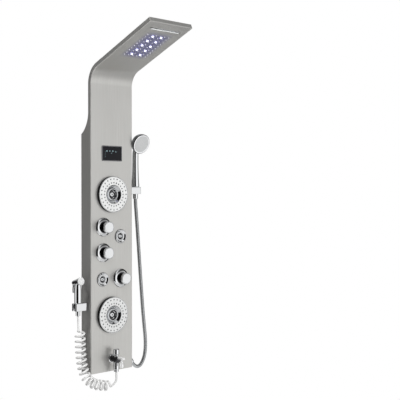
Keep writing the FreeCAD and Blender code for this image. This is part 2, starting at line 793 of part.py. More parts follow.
def hose_outlet_elbow():
    inlet = rod(7.0, V(88, HOLDER_Y, OUTLET_Z), OUTLET_ELBOW)
    rosette = rod(13, V(HALF, HOLDER_Y, OUTLET_Z), V(HALF + 2.5, HOLDER_Y, OUTLET_Z))
    return fuse(inlet, rosette, Part.makeSphere(7.0, OUTLET_ELBOW),
                rod(7.0, OUTLET_ELBOW, on_outlet(OUTLET_NUT_FROM + 2)))


def handset_hose():
    """Hose of the hand shower: down beside the column, round below its edge, up to the outlet."""
    end = on_outlet(OUTLET_NUT_TO)
    route = [
        (HOLDER_X, HOSE_TOP_Z),
        (HOLDER_X, 642),
        (144.8, 604),
        (174.0, 255),
        (182.8, 170),
        (192.8, 90),
        (189.5, 36),
        (175.5, 5),
        (158.6, -10.4),
    ]
    points = [V(x, HOLDER_Y, z) for x, z in route]
    points += [on_outlet(47), end]
    return tube(points, HOSE_R, None, "hand shower hose")


# ---- bidet sprayer ------------------------------------------------------------------------------------------------------
SPRAY_LIFT = math.radians(12.0)
SPRAY_BACK = V(-HOLDER_X, 57.0, 346.0)
SPRAY_WAY = V(0, -math.cos(SPRAY_LIFT), math.sin(SPRAY_LIFT))
SPRAY_REACH = 51.5
TRIGGER_PIN_Y = 50.0
TRIGGER_PIN_Z = 334.0
PIN_R = 1.5


def sprayer_body():
    """Upright handle, forward head and the two ears of the trigger, one chromed moulding."""
    low = SPRAYER_HOLDER_TOP + 0.3
    grip = [(0, low), (12.4, low), (13.6, low + 2), (13.6, low + 50), (12.2, 340), (10.5, 348),
            (0, 352)]
    head = [(0, 0), (7.0, 0), (9.2, 2.5), (11.0, 22), (14.2, 44), (15.0, 47), (15.0, 49.5), (0, 49.5)]
    ears = []
    for x0, x1 in ((-146.4, -144.2), (-135.8, -133.6)):
        ears.append(block(x0, x1, 46.5, 53.5, 330.5, 344))
    body = fuse(turned(grip, V(-HOLDER_X, HOLDER_Y, 0)), turned(head, SPRAY_BACK, SPRAY_WAY), *ears)
    pin_hole = rod(PIN_R, V(-150, TRIGGER_PIN_Y, TRIGGER_PIN_Z), V(-130, TRIGGER_PIN_Y, TRIGGER_PIN_Z))
    return body.cut(pin_hole)


def sprayer_face():
    return turned([(0, 49.5), (14.6, 49.5), (14.6, 51.0), (13.4, SPRAY_REACH), (0, SPRAY_REACH)],
                  SPRAY_BACK, SPRAY_WAY)


def sprayer_trigger():
    """Curved thumb lever behind the handle, hinged under the head."""
    steps = [
        (47.6, 332.6),
        (50.0, 331.4),
        (53.2, 329.0),
        (54.0, 320.0, 53.2, 309.5),
        (56.4, 308.0),
        (58.2, 320.0, 56.8, 333.0),
        (53.0, 336.6),
        (50.0, 336.8),
        (47.6, 335.6),
    ]
    lever = side_profile(steps, -144.0, -136.0)
    bore = rod(PIN_R + 0.05, V(-150, TRIGGER_PIN_Y, TRIGGER_PIN_Z), V(-130, TRIGGER_PIN_Y, TRIGGER_PIN_Z))
    return lever.cut(bore)


def trigger_pin():
    return rod(PIN_R, V(-146.8, TRIGGER_PIN_Y, TRIGGER_PIN_Z), V(-133.2, TRIGGER_PIN_Y, TRIGGER_PIN_Z))


# ---- tub spout ------------------------------------------------------------------------------------------------------------
def spout_flange():
    return turned([(17, 0), (17, 1.6), (14.5, 3.6), (12.6, 3.6), (12.6, 0)], V(0, 0, SPOUT_Z), Y_OUT)


def spout_body():
    """Barrel out of the face with the diverter column through it and the arm on its front."""
    barrel = turned([(0, -16), (9.0, -16), (9.0, 0), (12.5, 0), (12.5, 38.5), (11.0, 41), (0, 41)],
                    V(0, 0, SPOUT_Z), Y_OUT)
    column = turned([(0, 9), (10.2, 9), (11.2, 10.2), (11.2, 37), (8.2, 40), (8.2, 66.5), (4.06, 66.5),
                     (4.06, 50), (0, 50)], V(0, SPOUT_COLUMN_Y, 0))
    arm_start = V(0, -34, SPOUT_ARM_Z)
    arm = turned([(0, 0), (5.4, 0), (5.4, 38.6), (4.2, 40), (0, 40)], arm_start, Y_OUT)
    drop = rod(4.2, V(0, AERATOR_Y, SPOUT_ARM_Z), V(0, AERATOR_Y, 38))
    body = fuse(barrel, column, arm, drop)
    return body.cut(rod(4.06, V(0, SPOUT_COLUMN_Y, 50), V(0, SPOUT_COLUMN_Y, 70)))


def spout_diverter_knob():
    """Knob on its stem, pulled up to send the water to the sprayer."""
    outline = [(0, 52), (4.0, 52), (4.0, 67.5), (9.6, 67.5), (11.5, 69), (11.5, 86.5), (9.8, 89), (0, 89.4)]
    return turned(outline, V(0, SPOUT_COLUMN_Y, 0))


def spout_aerator():
    outline = [(0, 38), (6.6, 38), (8.0, 35.5), (8.0, 23), (7.0, 21), (5.6, 21), (5.6, 24), (0, 24)]
    return turned(outline, V(0, AERATOR_Y, 0))


# ---- coiled sprayer hose ---------------------------------------------------------------------------------------------------
COIL_TOP_Z = 168.0
COIL_END = V(0, SPOUT_COLUMN_Y, 0.0)
COIL_LINE = [
    V(-131, 27, COIL_TOP_Z),
    V(-131, 26, 110),
    V(-130, 21, 55),
    V(-127, 10, 12),
    V(-115, 2, -17),
    V(-92, -1, -35),
    V(-62, -2, -46),
    V(-32, -5, -51),
    V(-14, -9, -51.5),
]


def coil_point(line, length, turn, radius, phase):
    """Point of the helix after a number of turns, round the coil's bent middle line."""
    share = turn / COIL_TURNS
    span = line.LastParameter - line.FirstParameter
    at = line.FirstParameter + span * share
    centre = line.value(at)
    ahead = V(*line.tangent(at)[0])
    sideways = V(0, -1, 0).cross(ahead)
    sideways.normalize()
    forward = ahead.cross(sideways)
    angle = 2 * math.pi * turn + phase
    out = sideways.multiply(radius * math.cos(angle)).add(forward.multiply(radius * math.sin(angle)))
    return centre.add(out)


def coil_radius(turn):
    """Full radius, drawn in over the first and the last three quarters of a turn."""
    edge = min(turn, COIL_TURNS - turn) / 0.75
    ease = min(1.0, edge)
    return COIL_R * (0.35 + 0.65 * ease * ease * (3 - 2 * ease))


def biarc(p0, t0, p1, t1):
    """Two tangent arcs from p0 to p1 with the given end directions."""
    chord = p1.sub(p0)
    both = t0.add(t1)
    a = 2 * (t0.dot(t1) - 1)
    b = -2 * chord.dot(both)
    c = chord.dot(chord)
    if abs(a) < 1e-9:
        reach = c / (2 * chord.dot(both))
    else:
        reach = (-b - math.sqrt(b * b - 4 * a * c)) / (2 * a)
    q0 = p0.add(V(t0).multiply(reach))
    q1 = p1.sub(V(t1).multiply(reach))
    join = q0.add(q1).multiply(0.5)
    arcs = []
    for start, corner, end in ((p0, q0, join), (join, q1, p1)):
        middle = start.add(end).multiply(0.5)
        half = start.sub(middle).Length / reach
        crown = middle.add(corner.sub(middle).multiply(half / (1 + half)))
        arcs.append(Part.Arc(start, crown, end).toShape())
    return arcs


def coil_knots():
    """Points and directions every quarter turn, with the straight ends."""
    guide = Part.BSplineCurve()
    guide.interpolate(COIL_LINE)
    phase = math.pi
    step = 0.25

    def at(turn):
        return coil_point(guide, 0, turn, coil_radius(turn), phase)

    knots = []
    for k in range(int(COIL_TURNS / step) + 1):
        turn = k * step
        low, high = max(turn - 0.01, 0), min(turn + 0.01, COIL_TURNS)
        knots.append((at(turn), at(high).sub(at(low)).normalize()))
    samples = [at(k / 16.0) for k in range(COIL_TURNS * 16 + 1)]
    return knots, samples


def report_gap(samples):
    """Least free gap between the wire and itself, on points more than half a turn apart."""
    least = 1e9
    for i, p in enumerate(samples):
        for q in samples[i + 9:i + 40]:
            least = min(least, p.distanceToPoint(q))
    print("coil: least gap between turns", round(least - 2 * WIRE_R, 2))


def sprayer_hose():
    """Springy coiled hose from the sprayer's nut down and round to the spout's lower outlet."""
    knots, samples = coil_knots()
    report_gap(samples)
    top = V(-HOLDER_X, HOLDER_Y, SPRAYER_NUT_BOTTOM)
    tail = COIL_END
    lead_in = [
        (top, V(0, 0, -1)),
        (V(-HOLDER_X, HOLDER_Y, SPRAYER_NUT_BOTTOM - 2 * WIRE_R), V(0, 0, -1)),
    ]
    lead_out = [
        (V(0, SPOUT_COLUMN_Y, -2 * WIRE_R), V(0, 0, 1)),
        (tail, V(0, 0, 1)),
    ]
    stations = lead_in + knots + lead_out
    edges = []
    for (p0, t0), (p1, t1) in zip(stations, stations[1:]):
        straight = p1.sub(p0).normalize().dot(t0) > 0.99999 and t0.dot(t1) > 0.99999
        if straight:
            edges.append(Part.makeLine(p0, p1))
        else:
            edges.extend(biarc(p0, t0, p1, t1))
    tightest = min(e.Curve.Radius for e in edges if hasattr(e.Curve, "Radius"))
    path = Part.Wire(edges)
    shell = Part.BRepOffsetAPI.MakePipeShell(path)
    shell.add(Part.Wire(Part.makeCircle(WIRE_R, top, V(0, 0, -1))))
    shell.build()
    shell.makeSolid()
    solid = shell.shape()
    expected = math.pi * WIRE_R ** 2 * path.Length
    print("coil: length", round(path.Length, 1), "tightest radius", round(tightest, 1),
          "volume / section x length", round(solid.Volume / expected, 4))
    return solid


def hose_end_nuts():
    """Nuts at the lower ends of both hoses."""
    low = OUTLET_NUT_FROM
    outlet = turned([(7.1, low), (9.4, low), (10.2, low + 2), (10.2, 20), (8.6, OUTLET_NUT_TO),
                     (0, OUTLET_NUT_TO), (0, low + 2), (7.1, low + 2)], OUTLET_ELBOW, OUTLET_WAY)
    spout = turned([(0, 0), (7.5, 0), (9.2, 1.6), (9.2, 9), (0, 9)], V(0, SPOUT_COLUMN_Y, 0))
    return Part.makeCompound([outlet, spout])


# ---- build ---------------------------------------------------------------------------------------------------------------------
def main():
    os.makedirs("parts", exist_ok=True)
    save("panel_shell", panel_shell())
    save("arm_cover", arm_cover())
    rails = [fuse(hanger_rail(z), *rail_tabs(z)) for z in BRACKET_Z.values()]
    save("hanger_rails", Part.makeCompound(rails))
    save("upper_wall_bracket", wall_bracket(BRACKET_Z["upper"]))
    save("lower_wall_bracket", wall_bracket(BRACKET_Z["lower"]))
    save("rain_water_box", rain_water_box())
    save("rain_nozzle_mat", rain_nozzle_mat())
    save("lamp_lenses", lamp_lenses())
    save("lamp_board", lamp_board())
    save("waterfall_outlet", waterfall_outlet())
    save("display_bezel", display_bezel())
    save("display_glass", display_glass())
    save("display_housing", display_housing())
    for place, z in BIG_JETS.items():
        save(place + "_jet_body", big_jet_body(z))
        save(place + "_jet_spray_plate", spray_plate(z))
        save(place + "_jet_cup", jet_cup(z))
        save(place + "_jet_ball", jet_ball(BALL_R, BALL_DEPTH, 8.0, 9.0, V(0, 0, z)))
    for place, (x, z) in SMALL_JETS.items():
        save(place + "_side_jet_bezel", small_jet_bezel(x, z))
        ball = jet_ball(SMALL_BALL_R, SMALL_BALL_DEPTH, -1.0, 6.5, V(x, 0, z))
        save(place + "_side_jet_ball", ball)
    save("panel_back_nuts", back_nuts())
    for name, (x, z) in KNOBS.items():
        save(name + "_escutcheon", escutcheon(x, z))
        save(name + "_knob", knob(x, z))
    save("valve_cartridges", Part.makeCompound([cartridge(x, z) for x, z in KNOBS.values()]))
    save("valve_manifold", valve_manifold())
    save("diverter_block", diverter_block())
    save("mixed_water_pipe", mixed_water_pipe())
    save("rain_riser", rain_riser())
    save("hydro_generator", hydro_generator())
    save("jet_feed_pipe", jet_feed_pipe())
    save("handset_feed_pipe", handset_feed_pipe())
    save("spout_feed_pipe", spout_feed_pipe())
    save("handset_holder", holder(1, HANDSET_HOLDER_TOP))
    save("sprayer_holder", holder(-1, SPRAYER_HOLDER_TOP))
    save("handset_body", handset_body())
    save("handset_face", handset_face())
    save("handset_trim_ring", handset_trim_ring())
    save("handset_hose_nut", hose_nut(HOLDER_X, HOSE_TOP_Z, HANDSET_HOLDER_TOP + 0.3, 10.2))
    save("handset_hose", handset_hose())
    save("hose_outlet_elbow", hose_outlet_elbow())
    save("sprayer_body", sprayer_body())
    save("sprayer_face", sprayer_face())
    save("sprayer_trigger", sprayer_trigger())
    save("trigger_pin", trigger_pin())
    save("sprayer_hose_nut", hose_nut(-HOLDER_X, SPRAYER_NUT_BOTTOM, SPRAYER_HOLDER_TOP + 0.3, 8.6))
    save("sprayer_hose", sprayer_hose())
    save("hose_end_nuts", hose_end_nuts())
    save("spout_flange", spout_flange())
    save("spout_body", spout_body())
    save("spout_diverter_knob", spout_diverter_knob())
    save("spout_aerator", spout_aerator())
    print(len(NAMES), "pieces written")


main()
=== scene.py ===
# %% [markdown]
# # Dressing a shower column
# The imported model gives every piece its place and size. This lesson gives the pieces their
# looks: brushed sheet, polished chrome, white plastic, a ribbed metal hose and a coiled one.
# Everything is in metres in the model's own frame: x to the right seen from the room, -y out
# of the wall, z up, with the origin at the upper wall bracket.

# %% Load the frame
import math

import bmesh
import bpy
import numpy as np
from mathutils import Matrix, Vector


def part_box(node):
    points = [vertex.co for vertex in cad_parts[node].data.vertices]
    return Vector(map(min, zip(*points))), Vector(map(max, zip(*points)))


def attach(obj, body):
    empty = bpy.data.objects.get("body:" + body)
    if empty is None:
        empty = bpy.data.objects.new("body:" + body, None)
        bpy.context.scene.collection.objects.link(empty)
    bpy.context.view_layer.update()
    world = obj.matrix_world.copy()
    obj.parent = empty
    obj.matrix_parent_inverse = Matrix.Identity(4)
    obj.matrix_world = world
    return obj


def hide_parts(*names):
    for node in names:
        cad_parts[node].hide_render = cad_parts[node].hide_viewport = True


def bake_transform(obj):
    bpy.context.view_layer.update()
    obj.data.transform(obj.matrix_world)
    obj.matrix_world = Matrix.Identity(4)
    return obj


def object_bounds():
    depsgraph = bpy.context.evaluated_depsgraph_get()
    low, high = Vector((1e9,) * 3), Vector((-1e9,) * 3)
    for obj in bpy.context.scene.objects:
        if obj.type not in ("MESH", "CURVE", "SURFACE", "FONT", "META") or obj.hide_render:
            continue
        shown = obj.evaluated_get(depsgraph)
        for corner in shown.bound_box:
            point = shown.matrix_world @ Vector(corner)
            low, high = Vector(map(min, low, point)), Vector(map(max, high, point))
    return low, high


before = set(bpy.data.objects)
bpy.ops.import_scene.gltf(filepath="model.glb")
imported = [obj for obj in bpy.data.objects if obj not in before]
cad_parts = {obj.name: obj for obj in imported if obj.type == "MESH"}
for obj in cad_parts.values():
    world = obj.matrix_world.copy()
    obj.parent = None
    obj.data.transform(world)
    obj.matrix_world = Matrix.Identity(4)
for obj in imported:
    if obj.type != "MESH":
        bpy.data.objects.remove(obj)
cad_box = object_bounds()
MM = 0.001

# %% [markdown]
# Places come from the model itself. The back of a knob's plate lies on the face, so it says
# where the face is, and the lower end of the sheet says where the column ends. Sizes below
# are then written as on the drawing: millimetres from the face and from the lower edge.

# %% The drawing's own coordinates
FACE_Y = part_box("hot_escutcheon")[1].y
FOOT_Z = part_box("panel_shell")[0].z
ROOM, UP = (0, -1, 0), (0, 0, 1)


def at(x, y, z):
    """Places in metres of drawing points in mm: x across, y behind the face, z above the lower
    edge. Each may be a number or an array."""
    return np.stack(np.broadcast_arrays(x * MM, FACE_Y + y * MM, FOOT_Z + z * MM), axis=-1)


def put(name, data):
    """A new object in the scene."""
    thing = bpy.data.objects.new(name, data)
    bpy.context.scene.collection.objects.link(thing)
    return thing


print("face at y", round(FACE_Y, 4), "lower edge at z", round(FOOT_Z, 4))

# %% [markdown]
# ## Camera first
# The photograph was taken with a long lens from the left, level with the middle of the
# column. The place and the lens were worked out from the straight edges of the sheet.

# %% Camera
IMAGE_SIDE, FOCAL_PIXELS, SENSOR = 400, 832.2, 36.0
CAMERA_DOWN, CAMERA_TURN = 0.664, -43.867
camera_data = bpy.data.cameras.new("camera")
camera_data.sensor_width = SENSOR
camera_data.lens = FOCAL_PIXELS / IMAGE_SIDE * SENSOR
camera_data.clip_end = 60
camera = put("camera", camera_data)
camera.location = at(-1979.3, -2549.6, 697.5)
camera.rotation_euler = (math.radians(90 - CAMERA_DOWN), 0, math.radians(CAMERA_TURN))
bpy.context.scene.camera = camera

# %% [markdown]
# ## Shader arithmetic
# A material is easier to read as a formula than as a picture of boxes. `Wire` holds one
# output of a node, and adding or multiplying wires adds the Math node that does it; the
# list under the class says which operation each operator and method stands for. Every
# other node comes from `Finish.node`, which sets the node's options, then its inputs. The
# studio at the end is written with the same two classes.

# %% Wires and finishes
class Wire:
    """One output socket; arithmetic on it adds Math nodes."""

    def __init__(self, finish, socket):
        self.finish, self.socket = finish, socket

    def _math(self, operation, *values):
        """Math node over wires and numbers."""
        return self.finish.node("ShaderNodeMath", {"operation": operation}, dict(enumerate(values)))

    def __rsub__(self, other):
        return self._math("SUBTRACT", other, self)

    def clamp(self):
        return self._math("MINIMUM", self._math("MAXIMUM", self, 0.0), 1.0)

    def rise(self, zero, one):
        """Zero at one value and one at the other: clamp((self - zero) / (one - zero))."""
        return ((self - zero) / (one - zero)).clamp()

    def band(self, low, high, fade):
        """One between low and high, falling to zero over fade inside them."""
        return self.rise(low, low + fade) * self.rise(high, high - fade)


for method, operation in (("__add__", "ADD"), ("__radd__", "ADD"), ("__sub__", "SUBTRACT"), ("__mul__", "MULTIPLY"),
                          ("__truediv__", "DIVIDE"), ("power", "POWER"), ("fraction", "FRACT"), ("size", "ABSOLUTE")):
    setattr(Wire, method, lambda self, *others, operation=operation: self._math(operation, self, *others))


class Finish:
    """The node tree of a material or of the world, with one method that makes nodes."""

    def __init__(self, name, kind="materials", shader="Principled BSDF", **sockets):
        self.material = getattr(bpy.data, kind).new(name)
        self.material.use_nodes = True
        self.tree = self.material.node_tree
        self.shader = self.tree.nodes[shader]
        for label, value in sockets.items():
            self.feed(label.replace("_", " "), value)

    def _plug(self, socket, value):
        """Link a wire to an input, or set a number or colour on it."""
        if isinstance(value, Wire):
            self.tree.links.new(value.socket, socket)
        elif isinstance(value, (tuple, list)) and len(value) == 3 and socket.type == "RGBA":
            socket.default_value = (*value, 1.0)
        else:
            socket.default_value = value

    def node(self, kind, settings=None, inputs=None, output=0):
        """New node: its options, its inputs by name or number, and the output to go on with."""
        made = self.tree.nodes.new(kind)
        for key, value in (settings or {}).items():
            if key == "stops":
                ramp = made.color_ramp
                while len(ramp.elements) < len(value):
                    ramp.elements.new(0.5)
                for element, (place, colour) in zip(ramp.elements, value):
                    element.position = place
                    element.color = (*colour, 1.0)
            else:
                setattr(made, key, value)
        for key, value in (inputs or {}).items():
            self._plug(made.inputs[key], value)
        return Wire(self, made.outputs[output])

    def feed(self, label, value):
        """Link or set one input of the shader itself."""
        self._plug(self.shader.inputs[label], value)
        return self

    def coordinates(self, source="Object"):
        """Where on the piece a point lies."""
        return self.node("ShaderNodeTexCoord", output=source)

    def noise(self, scale, detail=2, roughness=0.5, source="Object"):
        """Noise over object or UV coordinates; the scale is one number or three."""
        scale = scale if isinstance(scale, tuple) else (scale,) * 3
        where = self.node("ShaderNodeMapping", inputs={"Vector": self.coordinates(source), "Scale": scale})
        return self.node("ShaderNodeTexNoise", inputs={
            "Vector": where, "Scale": 1.0, "Detail": detail, "Roughness": roughness})

    def part(self, where, axis):
        """One of the X, Y and Z of a vector."""
        return self.node("ShaderNodeSeparateXYZ", inputs={0: where}, output=axis)

    def along(self, where, direction):
        """How far a vector reaches in a direction: their dot product."""
        return self.node("ShaderNodeVectorMath", {"operation": "DOT_PRODUCT"},
                         {0: where, 1: direction}, output="Value")

    def ramp(self, factor, *stops):
        """Colour between stops of (place, colour)."""
        return self.node("ShaderNodeValToRGB", {"stops": stops}, {"Fac": factor})

    def blend(self, factor, first, second):
        """Mix of two colours."""
        return self.node("ShaderNodeMix", {"data_type": "RGBA"},
                         {"Factor": factor, 6: first, 7: second}, output=2)

    def bump(self, height, strength, distance):
        """Let a height tilt the shading."""
        return self.feed("Normal", self.node("ShaderNodeBump", inputs={
            "Height": height, "Strength": strength, "Distance": distance}))


# %% [markdown]
# ## Finishes
# Brushed stainless sheet is grooved along the sheet. The grooves are noise squeezed thin
# across the sheet and drawn long along it, read from the sheet's own UV map in metres so
# that they follow the bend. They shade both the roughness and a faint bump, and a slow
# cloudy noise keeps large flats from looking printed.

# %% Brushed sheet
sheet_finish = Finish("brushed_sheet", Metallic=0.85)
grain = sheet_finish.noise((1400, 5, 5), 4, 0.6, "UV")
cloud = sheet_finish.noise((6, 3, 3), source="UV")
sheet_tone = sheet_finish.ramp(grain * 0.75 + cloud * 0.25,
                               (0.30, (0.51, 0.505, 0.485)), (0.72, (0.67, 0.665, 0.645)))
sheet_finish.feed("Roughness", grain * 0.12 + 0.30 + cloud * 0.06)
sheet_finish.bump(grain, 0.10, 0.0002)
SHEET_FINISH = sheet_finish.material

# %% [markdown]
# Chrome is almost a mirror. What stops it looking like computer chrome is a very faint
# unevenness: a few percent of roughness that drifts over the surface. Knobs, their plates
# and the big heads have painted dark reflection and shade between given heights off the face.

# %% Chrome and drawn metals
CHROME_COLOUR = (0.82, 0.83, 0.84)
# Colour of the painted dark reflection and shade, and the soft edge of its bands in mm.
PAINTED_DARK_REFLECTION = (0.06, 0.06, 0.065)
PAINTED_DARK_FADE = 0.7


def polished(name, colour, rough, drift=0.05, metallic=1.0, painted_dark_heights=()):
    """Metal whose roughness drifts by a few percent, with painted dark reflection and shade between pairs of heights
    in mm.
    """
    finish = Finish(name, Metallic=metallic)
    film = finish.noise(35, 3)
    tone = finish.blend(film, tuple(c * 0.97 for c in colour), colour)
    if painted_dark_heights:
        # Painted dark reflection and shade: the colour goes dark between the given heights off the face.
        height = (FACE_Y - finish.part(finish.coordinates(), "Y")) * 1000
        painted_dark_mask = sum(height.band(low, high, PAINTED_DARK_FADE) for low, high in painted_dark_heights)
        tone = finish.blend(painted_dark_mask, tone, PAINTED_DARK_REFLECTION)
    finish.feed("Base Color", tone)
    finish.feed("Roughness", film * drift + rough)
    return finish.material


CHROME = polished("chrome", CHROME_COLOUR, 0.04)
DARK_CHROME = polished("dark_chrome", (0.20, 0.20, 0.21), 0.07)
# Near-black chrome of the spout's barrel and the hand shower's rim: painted dark reflection.
DARK_REFLECTION_CHROME = polished("chrome_painted_dark_reflection", (0.07, 0.07, 0.075), 0.10)
DISH_CHROME = polished("dish_chrome", (0.60, 0.61, 0.62), 0.06)
DOME_CHROME = polished("dome_chrome", (0.42, 0.43, 0.44), 0.07)
SATIN_CHROME = polished("satin_chrome", (0.90, 0.90, 0.90), 0.25, metallic=0.45)
# Heads, knob plates and knob waists: painted dark reflection and shade between these heights off the face.
HEAD_CHROME = polished("head_chrome", CHROME_COLOUR, 0.04, painted_dark_heights=[(-2.0, 11.6)])
PLATE_CHROME = polished("plate_chrome", CHROME_COLOUR, 0.04, painted_dark_heights=[(-2.0, 1.7), (8.1, 12.0)])
GRIP_CHROME = polished("grip_chrome", CHROME_COLOUR, 0.04, painted_dark_heights=[(8.5, 29.0)])
PIPE_STEEL = polished("pipe_steel", (0.62, 0.62, 0.61), 0.28, 0.12)
CAST_BRASS = polished("cast_brass", (0.70, 0.55, 0.30), 0.34, 0.15)
BRACKET_STEEL = polished("bracket_steel", (0.56, 0.57, 0.58), 0.38, 0.12)

# %% [markdown]
# Moulded plastic has a soft gloss under a fine orange-peel. One function makes every
# plastic, from glossy white to the black of the housings, with its own grain size.

# %% Plastics and rubber
def moulded(name, colour, rough, grain=900, depth=0.06):
    """Plastic with cloudy colour and a fine skin: its grain size and the depth of its bump."""
    finish = Finish(name)
    skin = finish.noise(grain)
    finish.feed("Base Color", finish.blend(finish.noise(20), tuple(c * 0.95 for c in colour), colour))
    finish.feed("Roughness", skin * 0.08 + rough)
    return finish.bump(skin, depth, 0.0001).material


WHITE = moulded("gloss_white", (0.86, 0.87, 0.87), 0.22)
PLATE_WHITE = moulded("plate_white", (0.66, 0.665, 0.66), 0.28)
# White plastic for the hand shower's chrome trim ring: painted bright reflection.
PAINTED_REFLECTION_TRIM = moulded("trim_painted_bright_reflection", (0.86, 0.87, 0.88), 0.12, 300, 0.02)
PALE_GREY = moulded("pale_grey", (0.53, 0.535, 0.535), 0.35)
RUBBER = moulded("nozzle_rubber", (0.30, 0.31, 0.33), 0.55, 1400, 0.12)
PALE_TIP = moulded("clear_tip", (0.78, 0.78, 0.84), 0.3)
DARK_TIP = moulded("tip_grey", (0.09, 0.095, 0.10), 0.5, 1400, 0.12)
BLACK = moulded("black_plastic", (0.02, 0.02, 0.022), 0.35)
BOARD = moulded("lamp_board", (0.04, 0.16, 0.06), 0.5)

# %% [markdown]
# ## Mesh makers
# Nearly every fitting here is a turned piece: an outline swept round an axis. Real turned
# and moulded pieces have no dead sharp corner, so `soften` first replaces each corner by a
# small curve with a holding point on each side, and the shading stays tight on the edge.

# %% Outlines and turned surfaces
STRAIGHT_ON = 0.96


def unit(vectors):
    """Vectors of length one: v / |v|."""
    return vectors / np.linalg.norm(vectors, axis=-1, keepdims=True)


def quadratic(a, b, c, t):
    """Curve from a towards b to c: (1 - t)^2 a + 2 t (1 - t) b + t^2 c."""
    return (1 - t) ** 2 * a + 2 * t * (1 - t) * b + t ** 2 * c


def run_along(points):
    """Length from the first point to each point."""
    return np.concatenate([[0], np.cumsum(np.linalg.norm(np.diff(points, axis=0), axis=1))])


def soften(outline, radius, steps=4, closed=False):
    """Round every corner of an (n, 2) outline: quadratic curves a -> corner -> b.

    a and b lie radius from the corner, or 0.32 of a shorter side, and a holding point lies
    half as far again out on each side. Turns under 16 degrees belong to an arc and are kept,
    as are the ends of an open outline.
    """
    points = np.asarray(outline, float)
    back = np.roll(points, 1, axis=0) - points
    ahead = np.roll(points, -1, axis=0) - points
    reach_back = np.linalg.norm(back, axis=1, keepdims=True)
    reach_ahead = np.linalg.norm(ahead, axis=1, keepdims=True)
    cut = np.minimum(radius, 0.32 * np.minimum(reach_back, reach_ahead))
    straight = -np.sum(back * ahead, axis=1, keepdims=True) / np.maximum(reach_back * reach_ahead, 1e-9)
    cut = np.where(straight > STRAIGHT_ON, 0.0, cut)
    to_a = back / np.maximum(reach_back, 1e-9) * cut
    to_b = ahead / np.maximum(reach_ahead, 1e-9) * cut
    a, b = points + to_a, points + to_b
    t = np.linspace(0, 1, steps + 1)[None, :, None]
    curve = quadratic(a[:, None], points[:, None], b[:, None], t)
    rows = np.concatenate([(points + to_a * 1.5)[:, None], curve, (points + to_b * 1.5)[:, None]], axis=1)
    if closed:
        return rows.reshape(-1, 2)
    return np.concatenate([points[:1], rows[1:-1].reshape(-1, 2), points[-1:]])


def axes_of(direction):
    """Three unit vectors: two across a direction and the direction itself."""
    w = unit(np.asarray(direction, float))
    helper = np.array([0.0, 0.0, 1.0]) if abs(w[2]) < 0.9 else np.array([1.0, 0.0, 0.0])
    u = unit(np.cross(helper, w))
    return u, np.cross(w, u), w


def grid_faces(rows, columns, wrap_rows=False, wrap_columns=True):
    """Quads of a grid of points, joined round in either direction."""
    i = np.arange(rows if wrap_rows else rows - 1)
    j = np.arange(columns if wrap_columns else columns - 1)
    i, j = np.meshgrid(i, j, indexing="ij")
    i2, j2 = (i + 1) % rows, (j + 1) % columns
    quads = np.stack([i * columns + j, i * columns + j2, i2 * columns + j2, i2 * columns + j], axis=-1)
    return quads.reshape(-1, 4)


def repeated(faces, count, copies):
    """Faces of so many copies of a mesh of count points."""
    return (faces[None] + count * np.arange(copies)[:, None, None]).reshape(-1, faces.shape[1])


def signed_volume(points, faces):
    """Sum of the signed volumes of the cones from the origin to each face."""
    a, b, c, d = (points[faces[:, k]] for k in range(4))
    return float(np.sum(np.einsum("ij,ij->i", a, np.cross(b, c)) + np.einsum("ij,ij->i", a, np.cross(c, d))) / 6)


def mesh_object(name, points, faces, material, smooth=True, closed=True, uv=None):
    """Put arrays into a mesh; a closed one is turned outwards and its poles are welded."""
    points = np.asarray(points, float).reshape(-1, 3)
    faces = np.asarray(faces, int)
    if closed and signed_volume(points - points.mean(axis=0), faces) < 0:
        faces = faces[:, ::-1]
    mesh = bpy.data.meshes.new(name)
    mesh.from_pydata(points.tolist(), [], faces.tolist())
    if uv is not None:
        layer = mesh.uv_layers.new(name="UVMap")
        layer.data.foreach_set("uv", np.asarray(uv, float).reshape(-1, 2)[faces.reshape(-1)].reshape(-1))
    mesh.materials.append(material)
    thing = put(name, mesh)
    if closed:
        clean(mesh, 1e-6)
    mesh.shade_smooth() if smooth else mesh.shade_flat()
    return thing


def clean(mesh, distance, flat=None):
    """Merge points nearer than a distance, as at a pole, then drop faces without area or, given an
    angle in degrees, join neighbours that are flatter than it."""
    work = bmesh.new()
    work.from_mesh(mesh)
    bmesh.ops.remove_doubles(work, verts=work.verts, dist=distance)
    if flat:
        bmesh.ops.dissolve_limit(work, angle_limit=math.radians(flat), verts=work.verts, edges=work.edges)
    else:
        bmesh.ops.dissolve_degenerate(work, edges=work.edges, dist=distance)
    work.to_mesh(mesh)
    work.free()


def turned_points(outline, seat, axis, sides):
    """r cos a, r sin a across the axis and h along it, for every outline point and angle."""
    u, v, w = axes_of(axis)
    a = np.linspace(0, 2 * math.pi, sides, endpoint=False)
    r = outline[:, 0, None, None] * MM
    h = outline[:, 1, None, None] * MM
    ring = np.cos(a)[None, :, None] * u + np.sin(a)[None, :, None] * v
    return seat + r * ring + h * w


def turned(name, outline, seat, axis, material, radius=0.6, sides=72, steps=4):
    """Turned piece from an outline of (radius, height) in mm that starts and ends on the axis,
    or goes all round when it doesn't."""
    outline = np.asarray(with_arcs(outline), float)
    on_axis = outline[0, 0] == 0 and outline[-1, 0] == 0
    soft = soften(outline, radius, steps, closed=not on_axis)
    points = turned_points(soft, np.asarray(seat, float), axis, sides)
    return mesh_object(name, points, grid_faces(len(soft), sides, wrap_rows=not on_axis), material)


